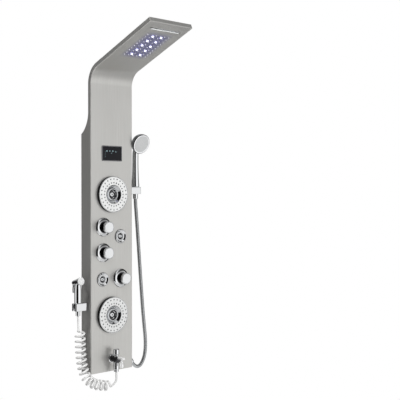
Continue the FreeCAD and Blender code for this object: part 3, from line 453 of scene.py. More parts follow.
def arc_through(start, middle, end, count=12):
    """Points after start, up to end, on the circle through three outline points.

    The centre c is where |c - start| = |c - middle| = |c - end|, which is a 2 x 2 system.
    """
    p, q, r = (np.asarray(point, float) for point in (start, middle, end))
    centre = np.linalg.solve(2 * np.array([q - p, r - p]), [q @ q - p @ p, r @ r - p @ p])
    angles = np.unwrap([math.atan2(*(point - centre)[::-1]) for point in (p, q, r)])
    reach = np.linalg.norm(p - centre)
    return [(centre[0] + reach * math.cos(t), centre[1] + reach * math.sin(t))
            for t in np.linspace(angles[0], angles[2], count + 1)[1:]]


def with_arcs(steps):
    """Outline whose steps of four numbers are arcs: a point on the way, then the end."""
    points = [steps[0]]
    for step in steps[1:]:
        points += arc_through(points[-1], step[:2], step[2:]) if len(step) == 4 else [step]
    return points


def fit(thing, body, *nodes, slot="chrome"):
    """Let a new piece ride on its body and stand for its CAD nodes; the slot argument is not used."""
    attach(thing, body)
    if nodes:
        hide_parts(*nodes)


# %% [markdown]
# ## The folded sheet
# On the real column one sheet makes the face, both side flanges and the underside of the
# arm. Its surface is therefore a section carried along a path: the section goes up one
# flange, round a small fold, across the face and down the other flange, and the path climbs
# the column, swings through the bend and runs out along the arm to the fold at its tip. Only
# the flange depth changes on the way. The slot of the waterfall is a gap left in the grid.

# %% Path of the sheet
WIDTH, SHEET, DEEP, SLIM, FOLD = 200.0, 1.5, 60.5, 16.5, 2.5
HALF = WIDTH / 2
FLARE_TOP, FLARE_R = 995.0, 100.0
VERTEX_Z, BEND_R, ARM = 1144.3, 65.0, 375.0
RISE = math.radians(22.0)
TURN = math.pi / 2 - RISE
BEND_RUN = BEND_R * math.tan(TURN / 2)
BEND_START = VERTEX_Z - BEND_RUN
FLARE_TURN = math.acos((SLIM + FLARE_R - DEEP) / FLARE_R)
SHOULDER = FLARE_TOP - FLARE_R * math.sin(FLARE_TURN)
SLOT_FROM, SLOT_TO, SLOT_HALF = 331.0, 339.0, 72.0
TIP_STATIONS = 9


def on_arm(run, rise):
    """(y, z) in drawing mm of a place on the arm: run along it, rise off its underside."""
    return (-math.cos(RISE) * run + math.sin(RISE) * rise,
            VERTEX_Z + math.sin(RISE) * run + math.cos(RISE) * rise)


def sheet_path():
    """Stations (y, z, way into the sheet y and z, flange depth), and how many come before the arm."""
    def stations(*values):
        return np.stack(np.broadcast_arrays(*values), axis=1)

    heights = np.concatenate([np.linspace(0, SHOULDER, 24), np.linspace(SHOULDER + 0.01, FLARE_TOP, 20),
                              np.linspace(FLARE_TOP + 20, BEND_START, 6)])
    lean = np.arcsin(np.clip((FLARE_TOP - heights) / FLARE_R, 0, 1))
    depth = np.where(heights <= SHOULDER, DEEP, SLIM + FLARE_R * (1 - np.cos(lean)))
    column = stations(0.0, heights, 1.0, 0.0, depth)
    turn = np.linspace(0, TURN, 26)[1:]
    bend = stations(-BEND_R + BEND_R * np.cos(turn), BEND_START + BEND_R * np.sin(turn),
                    np.cos(turn), np.sin(turn), SLIM)
    runs = np.array([BEND_RUN + 15, BEND_RUN + 40, BEND_RUN + 80, 150, 200, 250, 300, SLOT_FROM, SLOT_TO,
                     350, ARM - 6, ARM - 3])
    arm = stations(*on_arm(runs, 0), math.sin(RISE), math.cos(RISE), SLIM)
    turn = np.linspace(0, math.pi / 2, 6)
    run = np.append(ARM - FOLD + FOLD * np.sin(turn), [ARM] * 3)
    rise = np.append(FOLD - FOLD * np.cos(turn), [FOLD + 1.5, SLIM - 1.5, SLIM])
    turn = np.append(turn, [math.pi / 2] * 3)
    tip = stations(*on_arm(run, rise), np.sin(RISE + turn), np.cos(RISE + turn), SLIM)
    return np.concatenate([column, bend, arm, tip]), len(column) + len(bend)


path, arm_first = sheet_path()
print("stations along the sheet:", len(path))

# %% [markdown]
# The section is a row of points across the sheet. On the flanges it runs from the rear edge
# to the fold; each fold is a quarter circle of 2.5 mm; on the face there are columns where
# the slot begins and ends. A point x, d of the section sits d millimetres into the sheet
# from the face, so the folds of the arm's tip are made by the same few lines. The round
# holes behind heads and side jets are cut last, with a plug of each hole's size.

# %% Section and grid of the sheet
FLANGE_SHARES = np.array([0.0, 0.5, 0.92])
FACE_COLUMNS = [95.5, SLOT_HALF, 48, 24, 0]
JET_HOLES = ((0, 681.8, 30.3), (0, 216.9, 30.3), (42.0, 519.0, 20.3), (-44.0, 356.4, 20.3))


def sheet_surface():
    """Grid of the folded sheet: points, texture places, x of the columns, run of the rows."""
    face, into = path[:, :2], path[:, 2:4]
    rear = face + into * path[:, 4:5]
    rear[-TIP_STATIONS:] = on_arm(ARM - FOLD - 0.1, SLIM)
    length = run_along(face)
    turn = np.linspace(math.pi / 2, 0, 6)
    x = np.concatenate([HALF - FOLD + FOLD * np.sin(turn), FACE_COLUMNS])
    d = np.concatenate([FOLD - FOLD * np.cos(turn), np.zeros(len(FACE_COLUMNS))])
    x = np.concatenate([-x, x[-2::-1]])
    d = np.concatenate([d, d[-2::-1]])
    yz = face[:, None, :] + into[:, None, :] * d[None, :, None]
    share = FLANGE_SHARES[None, :, None]
    flange = rear[:, None, :] * (1 - share) + (face + into * FOLD)[:, None, :] * share
    yz = np.concatenate([flange, yz, flange[:, ::-1]], axis=1)
    x_all = np.concatenate([[-HALF] * 3, x, [HALF] * 3])
    on_flange = [20, 20, 5] + [0] * (len(x) - 1) + [5, 20, 20]
    across = np.concatenate([[0], np.cumsum(np.hypot(np.diff(x_all), on_flange))])
    uv = np.stack(np.broadcast_arrays(across[None, :] * MM, length[:, None] * MM), axis=-1)
    return at(x_all, yz[..., 0], yz[..., 1]), uv, x_all, length


def modify(thing, kind, crease=38, **settings):
    """Apply one modifier, and keep edges that turn more than the crease angle sharp."""
    made = thing.modifiers.new(kind.lower(), kind)
    for key, value in settings.items():
        setattr(made, key, value)
    bpy.context.view_layer.update()
    graph = bpy.context.evaluated_depsgraph_get()
    mesh = bpy.data.meshes.new_from_object(thing.evaluated_get(graph))
    thing.modifiers.clear()
    thing.data = mesh
    mesh.shade_smooth()
    mesh.set_sharp_from_angle(angle=math.radians(crease))
    return thing


def thicken(thing, thickness, polygon, outward):
    """Give a single surface its sheet thickness, inwards from the side that faces outward."""
    if np.dot(thing.data.polygons[polygon].normal, outward) < 0:
        thing.data.flip_normals()
    return modify(thing, "SOLIDIFY", thickness=thickness * MM, offset=-1, use_even_offset=True)


def punch_round(thing, x, z, radius):
    """Cut a round hole through the face with a short plug, then take the plug away."""
    plug = turned("plug", [(0, -8), (radius, -8), (radius, 8), (0, 8)], at(x, 0, z), ROOM, SHEET_FINISH, 0.01, 96, 1)
    modify(thing, "BOOLEAN", operation="DIFFERENCE", solver="EXACT", object=plug)
    bpy.data.objects.remove(plug)


points, uv, columns_x, path_length = sheet_surface()
rows, columns = points.shape[:2]
quads = grid_faces(rows, columns, wrap_columns=False)
row_of, column_of = quads[:, 0] // columns, quads[:, 0] % columns
slot_row = int(np.argmin(np.abs(path[:, 1] - on_arm(SLOT_FROM, 0)[1])))
in_slot = (row_of == slot_row) & (columns_x[column_of] >= -SLOT_HALF) & (columns_x[column_of] < SLOT_HALF)
panel = mesh_object("folded_sheet", points, quads[~in_slot][:, ::-1], SHEET_FINISH, closed=False, uv=uv)
thicken(panel, SHEET, columns // 2 + 3 * (columns - 1), ROOM)
for hole in JET_HOLES:
    punch_round(panel, *hole)
fit(panel, "column", "panel_shell", slot="brushed_sheet")
print("sheet surface", points.shape, "slot row", slot_row, "faces left out", int(in_slot.sum()))

# %% [markdown]
# The flanges end in narrow returns that lie on the wall, and a second sheet closes the top of
# the arm and the back of the slim stretch. Both are strips carried along a path as well.

# %% Returns and cover
COVER_SHEET = 1.2


def strip(name, line, x0, x1, thickness, outward):
    """Sheet strip from x0 to x1 along a line of (y, z) drawing points."""
    line = np.asarray(line, float)
    across = np.linspace(x0, x1, 5)[None, :]
    where = np.stack(np.broadcast_arrays(across * MM, run_along(line)[:, None] * MM), axis=-1)
    thing = mesh_object(name, at(across, line[:, 0:1], line[:, 1:2]), grid_faces(len(line), 5, wrap_columns=False),
                        SHEET_FINISH, closed=False, uv=where)
    return thicken(thing, thickness, 0, outward)


return_line = [(DEEP, z) for z in np.linspace(0, SHOULDER - 4, 8)]
for side, name in ((-1, "left_return"), (1, "right_return")):
    fit(strip(name, return_line, *sorted((side * 88.5, side * 98.6)), SHEET, (0, 1, 0)), "column",
        slot="brushed_sheet")

turn = np.linspace(TURN, 0, 26)
bend_line = np.stack([-BEND_R + (BEND_R + SLIM) * np.cos(turn), BEND_START + (BEND_R + SLIM) * np.sin(turn)], axis=1)
turn = np.linspace(0, FLARE_TURN, 16)
flare_line = np.stack([SLIM + FLARE_R * (1 - np.cos(turn)), FLARE_TOP - FLARE_R * np.sin(turn)], axis=1)
top_line = [on_arm(run, SLIM) for run in np.linspace(ARM - SHEET - 0.1, BEND_RUN + 4, 12)]
cover = strip("arm_cover_sheet", np.concatenate([top_line, bend_line, flare_line]), -98.4, 98.4, COVER_SHEET,
              (0, -0.37, 0.93))
fit(cover, "column", "arm_cover", slot="brushed_sheet")

# %% [markdown]
# ## Shower head in the arm
# Sixty soft tips and ten lamp lenses stand out of the underside. One tip is a few dozen
# faces, and numpy adds its points to all sixty places at once. A lens glows violet at its
# rim and nearly white at its crown, which is told by the height out of the sheet.

# %% Tips and lenses
ARM_UP = np.array([0, math.sin(RISE), math.cos(RISE)])
NOZZLE_X = np.array([-50.0, -30.0, -10.0, 10.0, 30.0, 50.0])
NOZZLE_RUN = 150.0 + 16.0 * np.arange(10)
LAMP_X = np.array([-20.0, 20.0])
LAMP_STEP = 32.0
LAMP_RUN = 158.0 + LAMP_STEP * np.arange(5)
LENS_HEIGHT = 0.0022


def arm_seats(x, run):
    """Places on the arm's underside for every pair of x and run."""
    x, run = np.meshgrid(x, run, indexing="ij")
    return at(x, *on_arm(run, 0))


def scatter(name, outline, seats, axis, material, sides=12, radius=0.2, steps=2):
    """One turned piece repeated: the same points added to every seat."""
    soft = soften(outline, radius, steps)
    one = turned_points(soft, np.zeros(3), axis, sides).reshape(-1, 3)
    faces = grid_faces(len(soft), sides)
    if signed_volume(one, faces) < 0:
        faces = faces[:, ::-1]
    seats = seats.reshape(-1, 1, 3)
    return mesh_object(name, seats + one, repeated(faces, len(one), len(seats)), material)


tip_outline = [(0, -2.2), (1.1, -2.2), (1.4, -1.9), (2.0, 0.2), (2.0, 1.5), (0, 1.5)]
fit(scatter("rubber_tips", tip_outline, arm_seats(NOZZLE_X, NOZZLE_RUN), ARM_UP, PALE_TIP), "column",
    slot="nozzle_rubber")

lamp = Finish("lamp_lens", Roughness=0.12, Base_Color=(0.80, 0.80, 1.0))
out_of_sheet = lamp.along(lamp.coordinates(), tuple(-ARM_UP))
crown = (out_of_sheet + float(at(0, 0, VERTEX_Z) @ ARM_UP)) / LENS_HEIGHT
lamp.feed("Emission Color", lamp.ramp(crown, (0.0, (0.40, 0.38, 1.0)), (0.75, (0.93, 0.93, 1.0))))
lamp.feed("Emission Strength", 2.2)
lens_outline = [(0, -2.4), (2.0, -2.2), (3.6, -1.4), (4.7, -0.2), (4.0, 0.6), (4.0, 11.0), (0, 11.0)]
fit(scatter("lamp_domes", lens_outline, arm_seats(LAMP_X, LAMP_RUN), ARM_UP, lamp.material, 24, 0.4, 3),
    "column", "lamp_lenses", slot="lamp_clear")
print("tips", NOZZLE_X.size * NOZZLE_RUN.size, "lenses", LAMP_X.size * LAMP_RUN.size)

# %% [markdown]
# Behind the sheet the lamps shine violet, and the brushed steel round them picks it up. A
# mask on the sheet's own UV map, soft at its edges, tints the steel there, and a round halo
# brightens it about every lamp. The fraction of the run counts the lamps along the arm.

# %% Glow round the lamps
GLOW_HALF, GLOW_FROM, GLOW_TO, GLOW_FADE, HALO = 0.066, 0.128, 0.318, 0.030, 0.011
MIDDLE_U = float(uv[arm_first, columns // 2, 0])
VERTEX_V = float(path_length[arm_first] - (BEND_RUN + 15)) * MM

on_sheet = sheet_finish.coordinates("UV")
sheet_u, sheet_v = sheet_finish.part(on_sheet, "X"), sheet_finish.part(on_sheet, "Y")
glow = (sheet_u.band(MIDDLE_U - GLOW_HALF, MIDDLE_U + GLOW_HALF, GLOW_FADE)
        * sheet_v.band(VERTEX_V + GLOW_FROM, VERTEX_V + GLOW_TO, GLOW_FADE))
aside = (sheet_u - MIDDLE_U).size() - LAMP_X[1] * MM
lamp_count = (sheet_v - (VERTEX_V + LAMP_RUN[0] * MM)) / (LAMP_STEP * MM)
ahead_of = ((lamp_count + 0.5).fraction() - 0.5) * (LAMP_STEP * MM)
halo = (aside * aside + ahead_of * ahead_of).power(0.5).rise(HALO, 0) * glow
tinted = sheet_finish.blend(glow * 0.85, sheet_tone, (0.25, 0.25, 0.48))
sheet_finish.feed("Base Color", sheet_finish.blend(halo * 0.8, tinted, (0.62, 0.62, 0.95)))

# %% [markdown]
# ## Copies of CAD pieces
# Some pieces are right as the CAD made them and only need rounded edges. A copy of the CAD
# mesh is loose triangles, so its points are merged and flat neighbours joined first; a small
# bevel then gives every edge the highlight that a real moulding or casting has. The white
# lip at the slot is six faces, made here and eased in the same way.

# %% Copies with eased edges
def eased(thing, width, segments=3, limit=30, crease=38):
    """Bevel every edge that turns more than a limit."""
    return modify(thing, "BEVEL", crease, width=width * MM, segments=segments, limit_method="ANGLE",
                  angle_limit=math.radians(limit))


def eased_copy(name, node, material, bevel, segments=3, angle=32):
    """Copy of a CAD node: merge, join flat faces, bevel by angle."""
    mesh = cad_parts[node].data.copy()
    mesh.name = name
    clean(mesh, 2e-6, flat=0.6)
    mesh.materials.clear()
    mesh.materials.append(material)
    return eased(put(name, mesh), bevel, segments, angle, angle)


fit(eased_copy("waterfall_box", "waterfall_outlet", CHROME, 0.25, 2), "column", "waterfall_outlet")
LIP_HALF, LIP_SECTION = 64, ((330.8, -2.9), (330.8, 0.5), (333.2, 0.5), (333.2, -2.9))
lip_rows = np.array([(x, *on_arm(*corner)) for x in (-LIP_HALF, LIP_HALF) for corner in LIP_SECTION])
lip_faces = [[0, 1, 5, 4], [1, 2, 6, 5], [2, 3, 7, 6], [3, 0, 4, 7], [3, 2, 1, 0], [4, 5, 6, 7]]
fit(eased(mesh_object("pouring_lip", at(*lip_rows.T), lip_faces, WHITE), 0.4), "column", slot="white_plastic")

# %% [markdown]
# ## Display
# A black glass in a thin bright frame. The figures are generic seven-segment ones that glow
# through the glass. A segment is a thin bar, so the whole reading is a list of bars.

# %% Display
DISPLAY_Z = 839.5
SEGMENTS = {"a": (0, 1, 0), "b": (0.5, 0.5, 1), "c": (0.5, -0.5, 1), "d": (0, -1, 0),
            "e": (-0.5, -0.5, 1), "f": (-0.5, 0.5, 1), "g": (0, 0, 0)}
FIGURES = {"3": "abgcd", "8": "abcdefg", "0": "abcdef", "1": "bc"}
READING = (("38", -27, 9, 4.6, 0.7), ("10", -14, 9, 4.6, 0.7), ("38", 1, 9, 4.6, 0.7),
           ("0", 17, 7, 3.4, 0.6), ("1", 22, 7, 3.4, 0.6), ("8", -3, 1, 3.0, 0.5))


def segment_boxes(text, x, z, height, bar):
    """(centre x, centre z, half width, half height) of every lit segment of a number."""
    boxes = []
    for place, figure in enumerate(text):
        for letter in FIGURES[figure]:
            dx, dz, upright = SEGMENTS[letter]
            half = (bar / 2, height * 0.22) if upright else (height * 0.22, bar / 2)
            boxes.append((x + (place * 0.78 + dx * 0.5) * height, DISPLAY_Z + z + dz * height * 0.5, *half))
    return boxes


def bars(name, boxes, front, thickness, material):
    """One thin box per row of (x, z, half width, half height)."""
    boxes = np.asarray(boxes, float)
    sign = np.array([[-1, -1, -1], [1, -1, -1], [1, -1, 1], [-1, -1, 1],
                     [-1, 1, -1], [1, 1, -1], [1, 1, 1], [-1, 1, 1]], float)
    x = boxes[:, 0, None] + sign[None, :, 0] * boxes[:, 2, None]
    z = boxes[:, 1, None] + sign[None, :, 2] * boxes[:, 3, None]
    y = front + (sign[None, :, 1] + 1) / 2 * thickness
    box_faces = np.array([[0, 1, 2, 3], [5, 4, 7, 6], [4, 0, 3, 7], [1, 5, 6, 2], [3, 2, 6, 7], [4, 5, 1, 0]])
    return mesh_object(name, at(x, y, z), repeated(box_faces, 8, len(boxes)), material, smooth=False)


glass = Finish("display_glass", Base_Color=(0.012, 0.012, 0.014), Specular_IOR_Level=0.08)
glass.feed("Roughness", glass.noise(30, 3) * 0.05 + 0.05)
fit(eased_copy("display_frame", "display_bezel", DARK_CHROME, 0.5), "column", "display_bezel")
fit(eased_copy("display_pane", "display_glass", glass.material, 0.3), "column", "display_glass",
    slot="display_glass")
lit = Finish("figures", Base_Color=(0.02, 0.03, 0.03), Emission_Strength=0.7)
lit.feed("Emission Color", lit.blend(lit.noise(60, 1), (0.45, 0.70, 0.75), (0.60, 0.85, 0.90)))
reading = [box for row in READING for box in segment_boxes(*row)]
reading += [(-33, DISPLAY_Z + 8 - 7 * k, 1.2, 0.5) for k in range(4)]
fit(bars("display_figures", reading, -1.88, 0.2, lit.material), "column", slot="display_glass")
print("bars in the display:", len(reading))

# %% [markdown]
# ## Round spray heads
# A large head is a flared chrome body, a white ring plate with two circles of tips, a chrome
# dish and a ball that swivels in it. The ball is hollow in front, with a nozzle standing in
# the hollow over a black ring that is painted shade on the hollow's floor. Each is turned from
# the outline it has on the drawing: radius, then height off the face.

# %% Large spray heads
BIG_JETS = {"upper": 681.8, "lower": 216.9}
BIG_BALL = (26.0, 6.0, 8.0, 9.0)
RING_RADII, RING_TIPS = np.array([59.5, 45.0])[:, None], 24


def hollow(radius, depth, rim_h):
    """Radius of a ball's rim and height of the floor of its hollow."""
    rim_r = math.sqrt(radius ** 2 - (rim_h + depth) ** 2)
    return rim_r, rim_h - 0.55 * rim_r


def jet_ball_outline(radius, depth, rim_h, nozzle_r):
    """Outline of a swivelling ball: sphere behind, hollow with a nozzle in front."""
    rim_r, floor = hollow(radius, depth, rim_h)
    low = -depth - radius
    half_h = (low + rim_h) / 2
    side = math.sqrt(radius ** 2 - (half_h + depth) ** 2)
    return [(0, low), (side, half_h, rim_r, rim_h), (rim_r - 1.8, rim_h), (rim_r * 0.78, floor + 2.0),
            (rim_r * 0.66, floor), (nozzle_r, floor), (nozzle_r * 0.8, floor + 6), (nozzle_r * 0.35, floor + 6),
            (nozzle_r * 0.35, floor + 2), (0, floor + 2)]


def hollow_shade_ring(radius, depth, rim_h, nozzle_r):
    """Outline of the black ring on the floor of the ball's hollow, which paints shade in the hollow."""
    rim_r, floor = hollow(radius, depth, rim_h)
    return [(nozzle_r + 0.2, floor - 0.3), (rim_r * 0.69, floor - 0.3), (rim_r * 0.71, floor + 0.8),
            (nozzle_r + 0.2, floor + 0.6)]


HEAD_BODY = [(70.5, 0), (70.5, 1.5), (69.4, 12.2), (68.6, 13.3), (67.4, 13.3), (67.4, 10), (36.2, 10), (36.2, 2),
             (26.5, 2), (26.5, -6), (22.0, -20.8, 6.0, -31.8), (6, -36), (30, -36), (30, 0)]
HEAD_PLATE = [(36.6, 10), (36.6, 12.4), (37.2, 12.9), (51.6, 12.9), (52.0, 12.6), (52.6, 12.6), (53.0, 12.9),
              (66.2, 12.9), (67.0, 12.2), (67.0, 10)]
HEAD_DISH = [(35.9, 2), (35.9, 12.8), (34.8, 13.4), (25.2, 3.6), (25.2, 2)]
PLATE_TIP = [(0, -0.5), (2.9, -0.5), (2.7, 0.5), (1.7, 0.9), (0, 0.9)]
for place, z in BIG_JETS.items():
    seat = at(0, 0, z)
    fit(turned(place + "_head_body", HEAD_BODY, seat, ROOM, HEAD_CHROME, 0.7, 120), "column", place + "_jet_body")
    fit(turned(place + "_head_plate", HEAD_PLATE, seat, ROOM, PLATE_WHITE, 0.3, 120), "column",
        place + "_jet_spray_plate", slot="white_plastic")
    angles = np.radians(360 / RING_TIPS * np.arange(RING_TIPS))
    tips = at(RING_RADII * np.cos(angles), -12.7, z + RING_RADII * np.sin(angles))
    fit(scatter(place + "_head_tips", PLATE_TIP, tips, ROOM, DARK_TIP, 14), "column", slot="nozzle_rubber")
    fit(turned(place + "_head_dish", HEAD_DISH, seat, ROOM, DISH_CHROME, 0.5, 120), "column", place + "_jet_cup")
    ball = place + "_jet_ball"
    fit(turned(place + "_head_ball", jet_ball_outline(*BIG_BALL), seat, ROOM, CHROME, 0.8, 96), ball, ball)
    # Black ring on the floor of the ball's hollow: painted shade.
    fit(turned(place + "_head_floor", hollow_shade_ring(*BIG_BALL), seat, ROOM, BLACK, 0.2), ball, slot="black_plastic")

# %% [markdown]
# The two side jets are small sisters of the same kind, with bezel and dish in one piece. The
# pocket that holds the ball is a sphere too, so its outline follows from the pocket's radius.

# %% Side jets
SMALL_JETS = {"right": (42.0, 519.0), "left": (-44.0, 356.4)}
SMALL_BALL = (16.5, 9.0, -1.0, 6.5)
SMALL_DEPTH, POCKET = 9.0, 16.9


def pocket_height(radius):
    """Height of the pocket's sphere at a radius: sqrt(P^2 - r^2) above its centre."""
    return -SMALL_DEPTH + math.sqrt(POCKET ** 2 - radius ** 2)


BEZEL = [(27.0, 0), (27.0, 1.6), (26.6, 3.2), (25.6, 4.4), (24.4, 4.8), (23.2, 4.3), (18.0, -0.4), (15.2, -0.8),
         (15.2, pocket_height(15.2)), (16.4, pocket_height(16.4), POCKET, -SMALL_DEPTH), (POCKET, -27.5),
         (20, -27.5), (20, 0)]
for place, (x, z) in SMALL_JETS.items():
    seat = at(x, 0, z)
    ball = place + "_side_jet_ball"
    fit(turned(place + "_jet_ring", BEZEL, seat, ROOM, CHROME, 0.6, 96), "column", place + "_side_jet_bezel")
    # Black ring at the bezel's foot: painted shade and dark reflection in the gap against the face.
    fit(turned(place + "_jet_foot", [(24, 0), (27.3, 0), (27.3, 2.2), (24, 2.2)], seat, ROOM, BLACK, 0.3, 96),
        "column", slot="black_plastic")
    fit(turned(place + "_jet_nozzle", jet_ball_outline(*SMALL_BALL), seat, ROOM, CHROME), ball, ball)
    # Black ring on the floor of the ball's hollow: painted shade.
    fit(turned(place + "_jet_floor", hollow_shade_ring(*SMALL_BALL), seat, ROOM, BLACK, 0.2, 60), ball,
        slot="black_plastic")

# %% [markdown]
# ## Knobs
# Three waisted knobs stand on domed plates. The front disc lies a little behind a bright
# rim, with a fine groove between them, which is what makes the rim read as a ring.

# %% Knobs and plates
KNOBS = {"hot": (-41.0, 557.0), "cold": (-41.0, 459.0), "diverter": (43.0, 356.5)}
KNOB_PLATE = [(36, 0), (36, 2.0), (34.6, 3.8), (27.5, 7.6, 19.6, 9.0), (16, 9.0), (16, 0)]
KNOB = [(0, -10), (4, -10), (4, 12), (8, 12), (8, 33), (12.6, 33), (12.6, 9.6), (16.6, 9.6), (16.0, 11.5),
        (16.4, 20.5, 19.4, 26.2), (22.0, 28.4), (22.5, 30.0), (22.5, 36.4), (21.6, 37.8), (20.6, 38.2),
        (19.9, 37.7), (19.4, 37.7), (18.8, 38.1), (0, 38.35)]
for place, (x, z) in KNOBS.items():
    seat = at(x, 0, z)
    fit(turned(place + "_plate", KNOB_PLATE, seat, ROOM, PLATE_CHROME, 0.5, 96), "column", place + "_escutcheon")
    fit(turned(place + "_grip", KNOB, seat, ROOM, GRIP_CHROME, 0.5, 96), place + "_knob", place + "_knob")
print("knobs and jets made")

# %% [markdown]
# ## Holders and small castings
# The holders on the flanges, the outlet elbow and the sprayer's thumb lever keep their CAD
# form and get eased edges.

# %% Castings with eased edges
for name, node, body, bevel in (
        ("hand_shower_bracket", "handset_holder", "column", 1.2),
        ("spray_bracket", "sprayer_holder", "column", 1.2),
        ("outlet_elbow", "hose_outlet_elbow", "column", 0.3),
        ("thumb_lever", "sprayer_trigger", "sprayer_trigger", 0.5)):
    fit(eased_copy(name, node, CHROME, bevel), body, node)

# %% [markdown]
# ## Tub spout
# The spout is a barrel out of the face with an upright column through its end. A thin arm
# carries the aerator forward, and the diverter's knob stands on top of the column.

# %% Spout
SPOUT_Z, SPOUT_Y, ARM_Z, AERATOR_Y = 48.5, -26.0, 56.0, -59.0
for name, outline, seat, axis, material, ease, body, *nodes in (
        ("spout_plate", [(17, 0), (17, 1.6), (14.5, 3.6), (12.6, 3.6), (12.6, 0)], at(0, 0, SPOUT_Z), ROOM,
         CHROME, 0.4, "column", "spout_flange"),
        # The barrel's near-black chrome is painted dark reflection.
        ("spout_barrel", [(0, -16), (9, -16), (9, 0), (12.5, 0), (12.5, 38.5), (11, 41), (0, 41)],
         at(0, 0, SPOUT_Z), ROOM, DARK_REFLECTION_CHROME, 0.8, "column", "spout_body"),
        ("spout_column", [(0, 9), (10.2, 9), (11.2, 10.2), (11.2, 37), (8.2, 40), (8.2, 66.5), (4.06, 66.5),
                          (4.06, 50), (0, 50)], at(0, SPOUT_Y, 0), UP, CHROME, 0.6, "column"),
        ("spout_arm", [(0, 0), (5.4, 0), (5.4, 38.6), (4.2, 40), (0, 40)], at(0, -34, ARM_Z), ROOM,
         SATIN_CHROME, 0.6, "column"),
        ("spout_drop", [(0, 37.5), (4.2, 37.5), (4.2, ARM_Z), (0, ARM_Z)], at(0, AERATOR_Y, 0), UP,
         SATIN_CHROME, 0.3, "column"),
        ("spout_pull_knob", [(0, 52), (4, 52), (4, 67.5), (9.6, 67.5), (11.5, 69), (11.5, 86.5), (9.8, 89),
                             (0, 89.4)], at(0, SPOUT_Y, 0), UP, CHROME, 0.6, "spout_diverter",
         "spout_diverter_knob"),
        ("spout_mouth", [(0, 38), (6.6, 38), (8, 35.5), (8, 23), (7, 21), (5.6, 21), (5.6, 24), (0, 24)],
         at(0, AERATOR_Y, 0), UP, SATIN_CHROME, 0.5, "column", "spout_aerator")):
    fit(turned(name, outline, seat, axis, material, ease), body, *nodes)

# %% [markdown]
# ## Tubes
# The handle of the hand shower and both hoses are tubes whose radius may change along a bent
# middle line, so `swept` takes a line and a radius for each of its points. The first ring is
# laid out from a chosen side, which keeps the tube from twisting.

# %% Tubes along a line
def tangents(line):
    """Unit directions along a line of points, from the differences of neighbours."""
    return unit(np.gradient(line, axis=0))


def swept(name, line, radii, side, material, sides):
    """Closed tube: rings n cos a + b sin a round each point, n across the line near `side`."""
    along = tangents(line)
    side = np.broadcast_to(np.asarray(side, float), line.shape)
    n = unit(side - np.sum(side * along, axis=1, keepdims=True) * along)
    b = np.cross(along, n)
    a = np.linspace(0, 2 * math.pi, sides, endpoint=False)
    ring = np.cos(a)[None, :, None] * n[:, None] + np.sin(a)[None, :, None] * b[:, None]
    points = line[:, None] + np.broadcast_to(radii, len(line))[:, None, None] * ring
    caps = [np.repeat(end[None], sides, axis=0)[None] for end in (line[0], line[-1])]
    points = np.concatenate([caps[0], points, caps[1]])
    length = run_along(line)
    length = np.concatenate([length[:1], length, length[-1:]])
    where = np.stack(np.broadcast_arrays((a / (2 * math.pi))[None, :], length[:, None]), axis=-1)
    return mesh_object(name, points, grid_faces(len(points), sides), material, uv=where)


def smooth_line(points, count):
    """Curve of second degree through the middles of the runs, ends kept: a quadratic B-spline."""
    points = np.asarray(points, float)
    middles = (points[1:] + points[:-1]) / 2
    middles[0], middles[-1] = points[0], points[-1]
    t = np.linspace(0, 1, count)[None, :-1, None]
    curve = quadratic(middles[:-1, None], points[1:-1, None], middles[1:, None], t)
    return np.concatenate([curve.reshape(-1, points.shape[1]), points[-1:]])


# %% [markdown]
# ## Hand shower
# The head is a short drum: a domed chrome back, a chrome trim ring in white as a painted bright
# reflection, set in a near-black rim of painted dark reflection, and a pale face full of small
# nozzles. Its axis leans 21 degrees down from the room. The handle is thickest where it sits in
# the holder and thinnest at the hand.

# %% Hand shower
HOLD_X, HOLD_Y = 140.0, 28.0
HANDLE_LOW, HOSE_TOP = 711.3, 664.0
SPRAY_LOW, COIL_TOP = 271.3, 224.0
HEAD_SEAT = at(HOLD_X, -10, 880)
HEAD_TILT = math.radians(21)
HEAD_WAY = np.array([0, -math.cos(HEAD_TILT), -math.sin(HEAD_TILT)])
SMALL_TIP = [(0, -0.3), (1.2, -0.3), (1.0, 0.5), (0.6, 0.8), (0, 0.8)]


def nozzle_circles(name, circles, seat, way, height, body):
    """Small rubber tips on circles of (radius, count), so high up the axis of a spray face."""
    u, v, w = axes_of(way)
    spots = [(r * math.cos(a), r * math.sin(a)) for r, n in circles for a in np.arange(n) * 2 * math.pi / n]
    seats = np.array([seat + MM * (x * u + y * v + height * w) for x, y in spots])
    fit(scatter(name, SMALL_TIP, seats, way, RUBBER, 10), body, slot="nozzle_rubber")


dome = [(0, -34), (26, -30, 38.8, -12), (39.6, -6), (39.6, -1.5), (0, -1.5)]
fit(turned("hand_shower_back", dome, HEAD_SEAT, HEAD_WAY, DOME_CHROME, 1.0, 96), "handset", "handset_body")
back_y, back_z = np.array([-10, 880]) - 20 * HEAD_WAY[1:]
handle_y, handle_z = smooth_line([
    (HOLD_Y, HANDLE_LOW), (HOLD_Y, 718), (HOLD_Y, 745), (HOLD_Y, 785), (HOLD_Y, 828), (HOLD_Y - 1, 852),
    (back_y + 6, 874), (back_y, back_z)], 10).T
handle_r = np.interp(handle_z, [HANDLE_LOW, 712.4, 716, 722, 745, 765, 800, 842, 862, 888],
                     [14.2, 15.4, 15.6, 15.2, 13.6, 12.9, 12.1, 12.0, 13.0, 15.5])
fit(swept("hand_shower_handle", at(HOLD_X, handle_y, handle_z), handle_r * MM, (1, 0, 0), CHROME, 64), "handset")
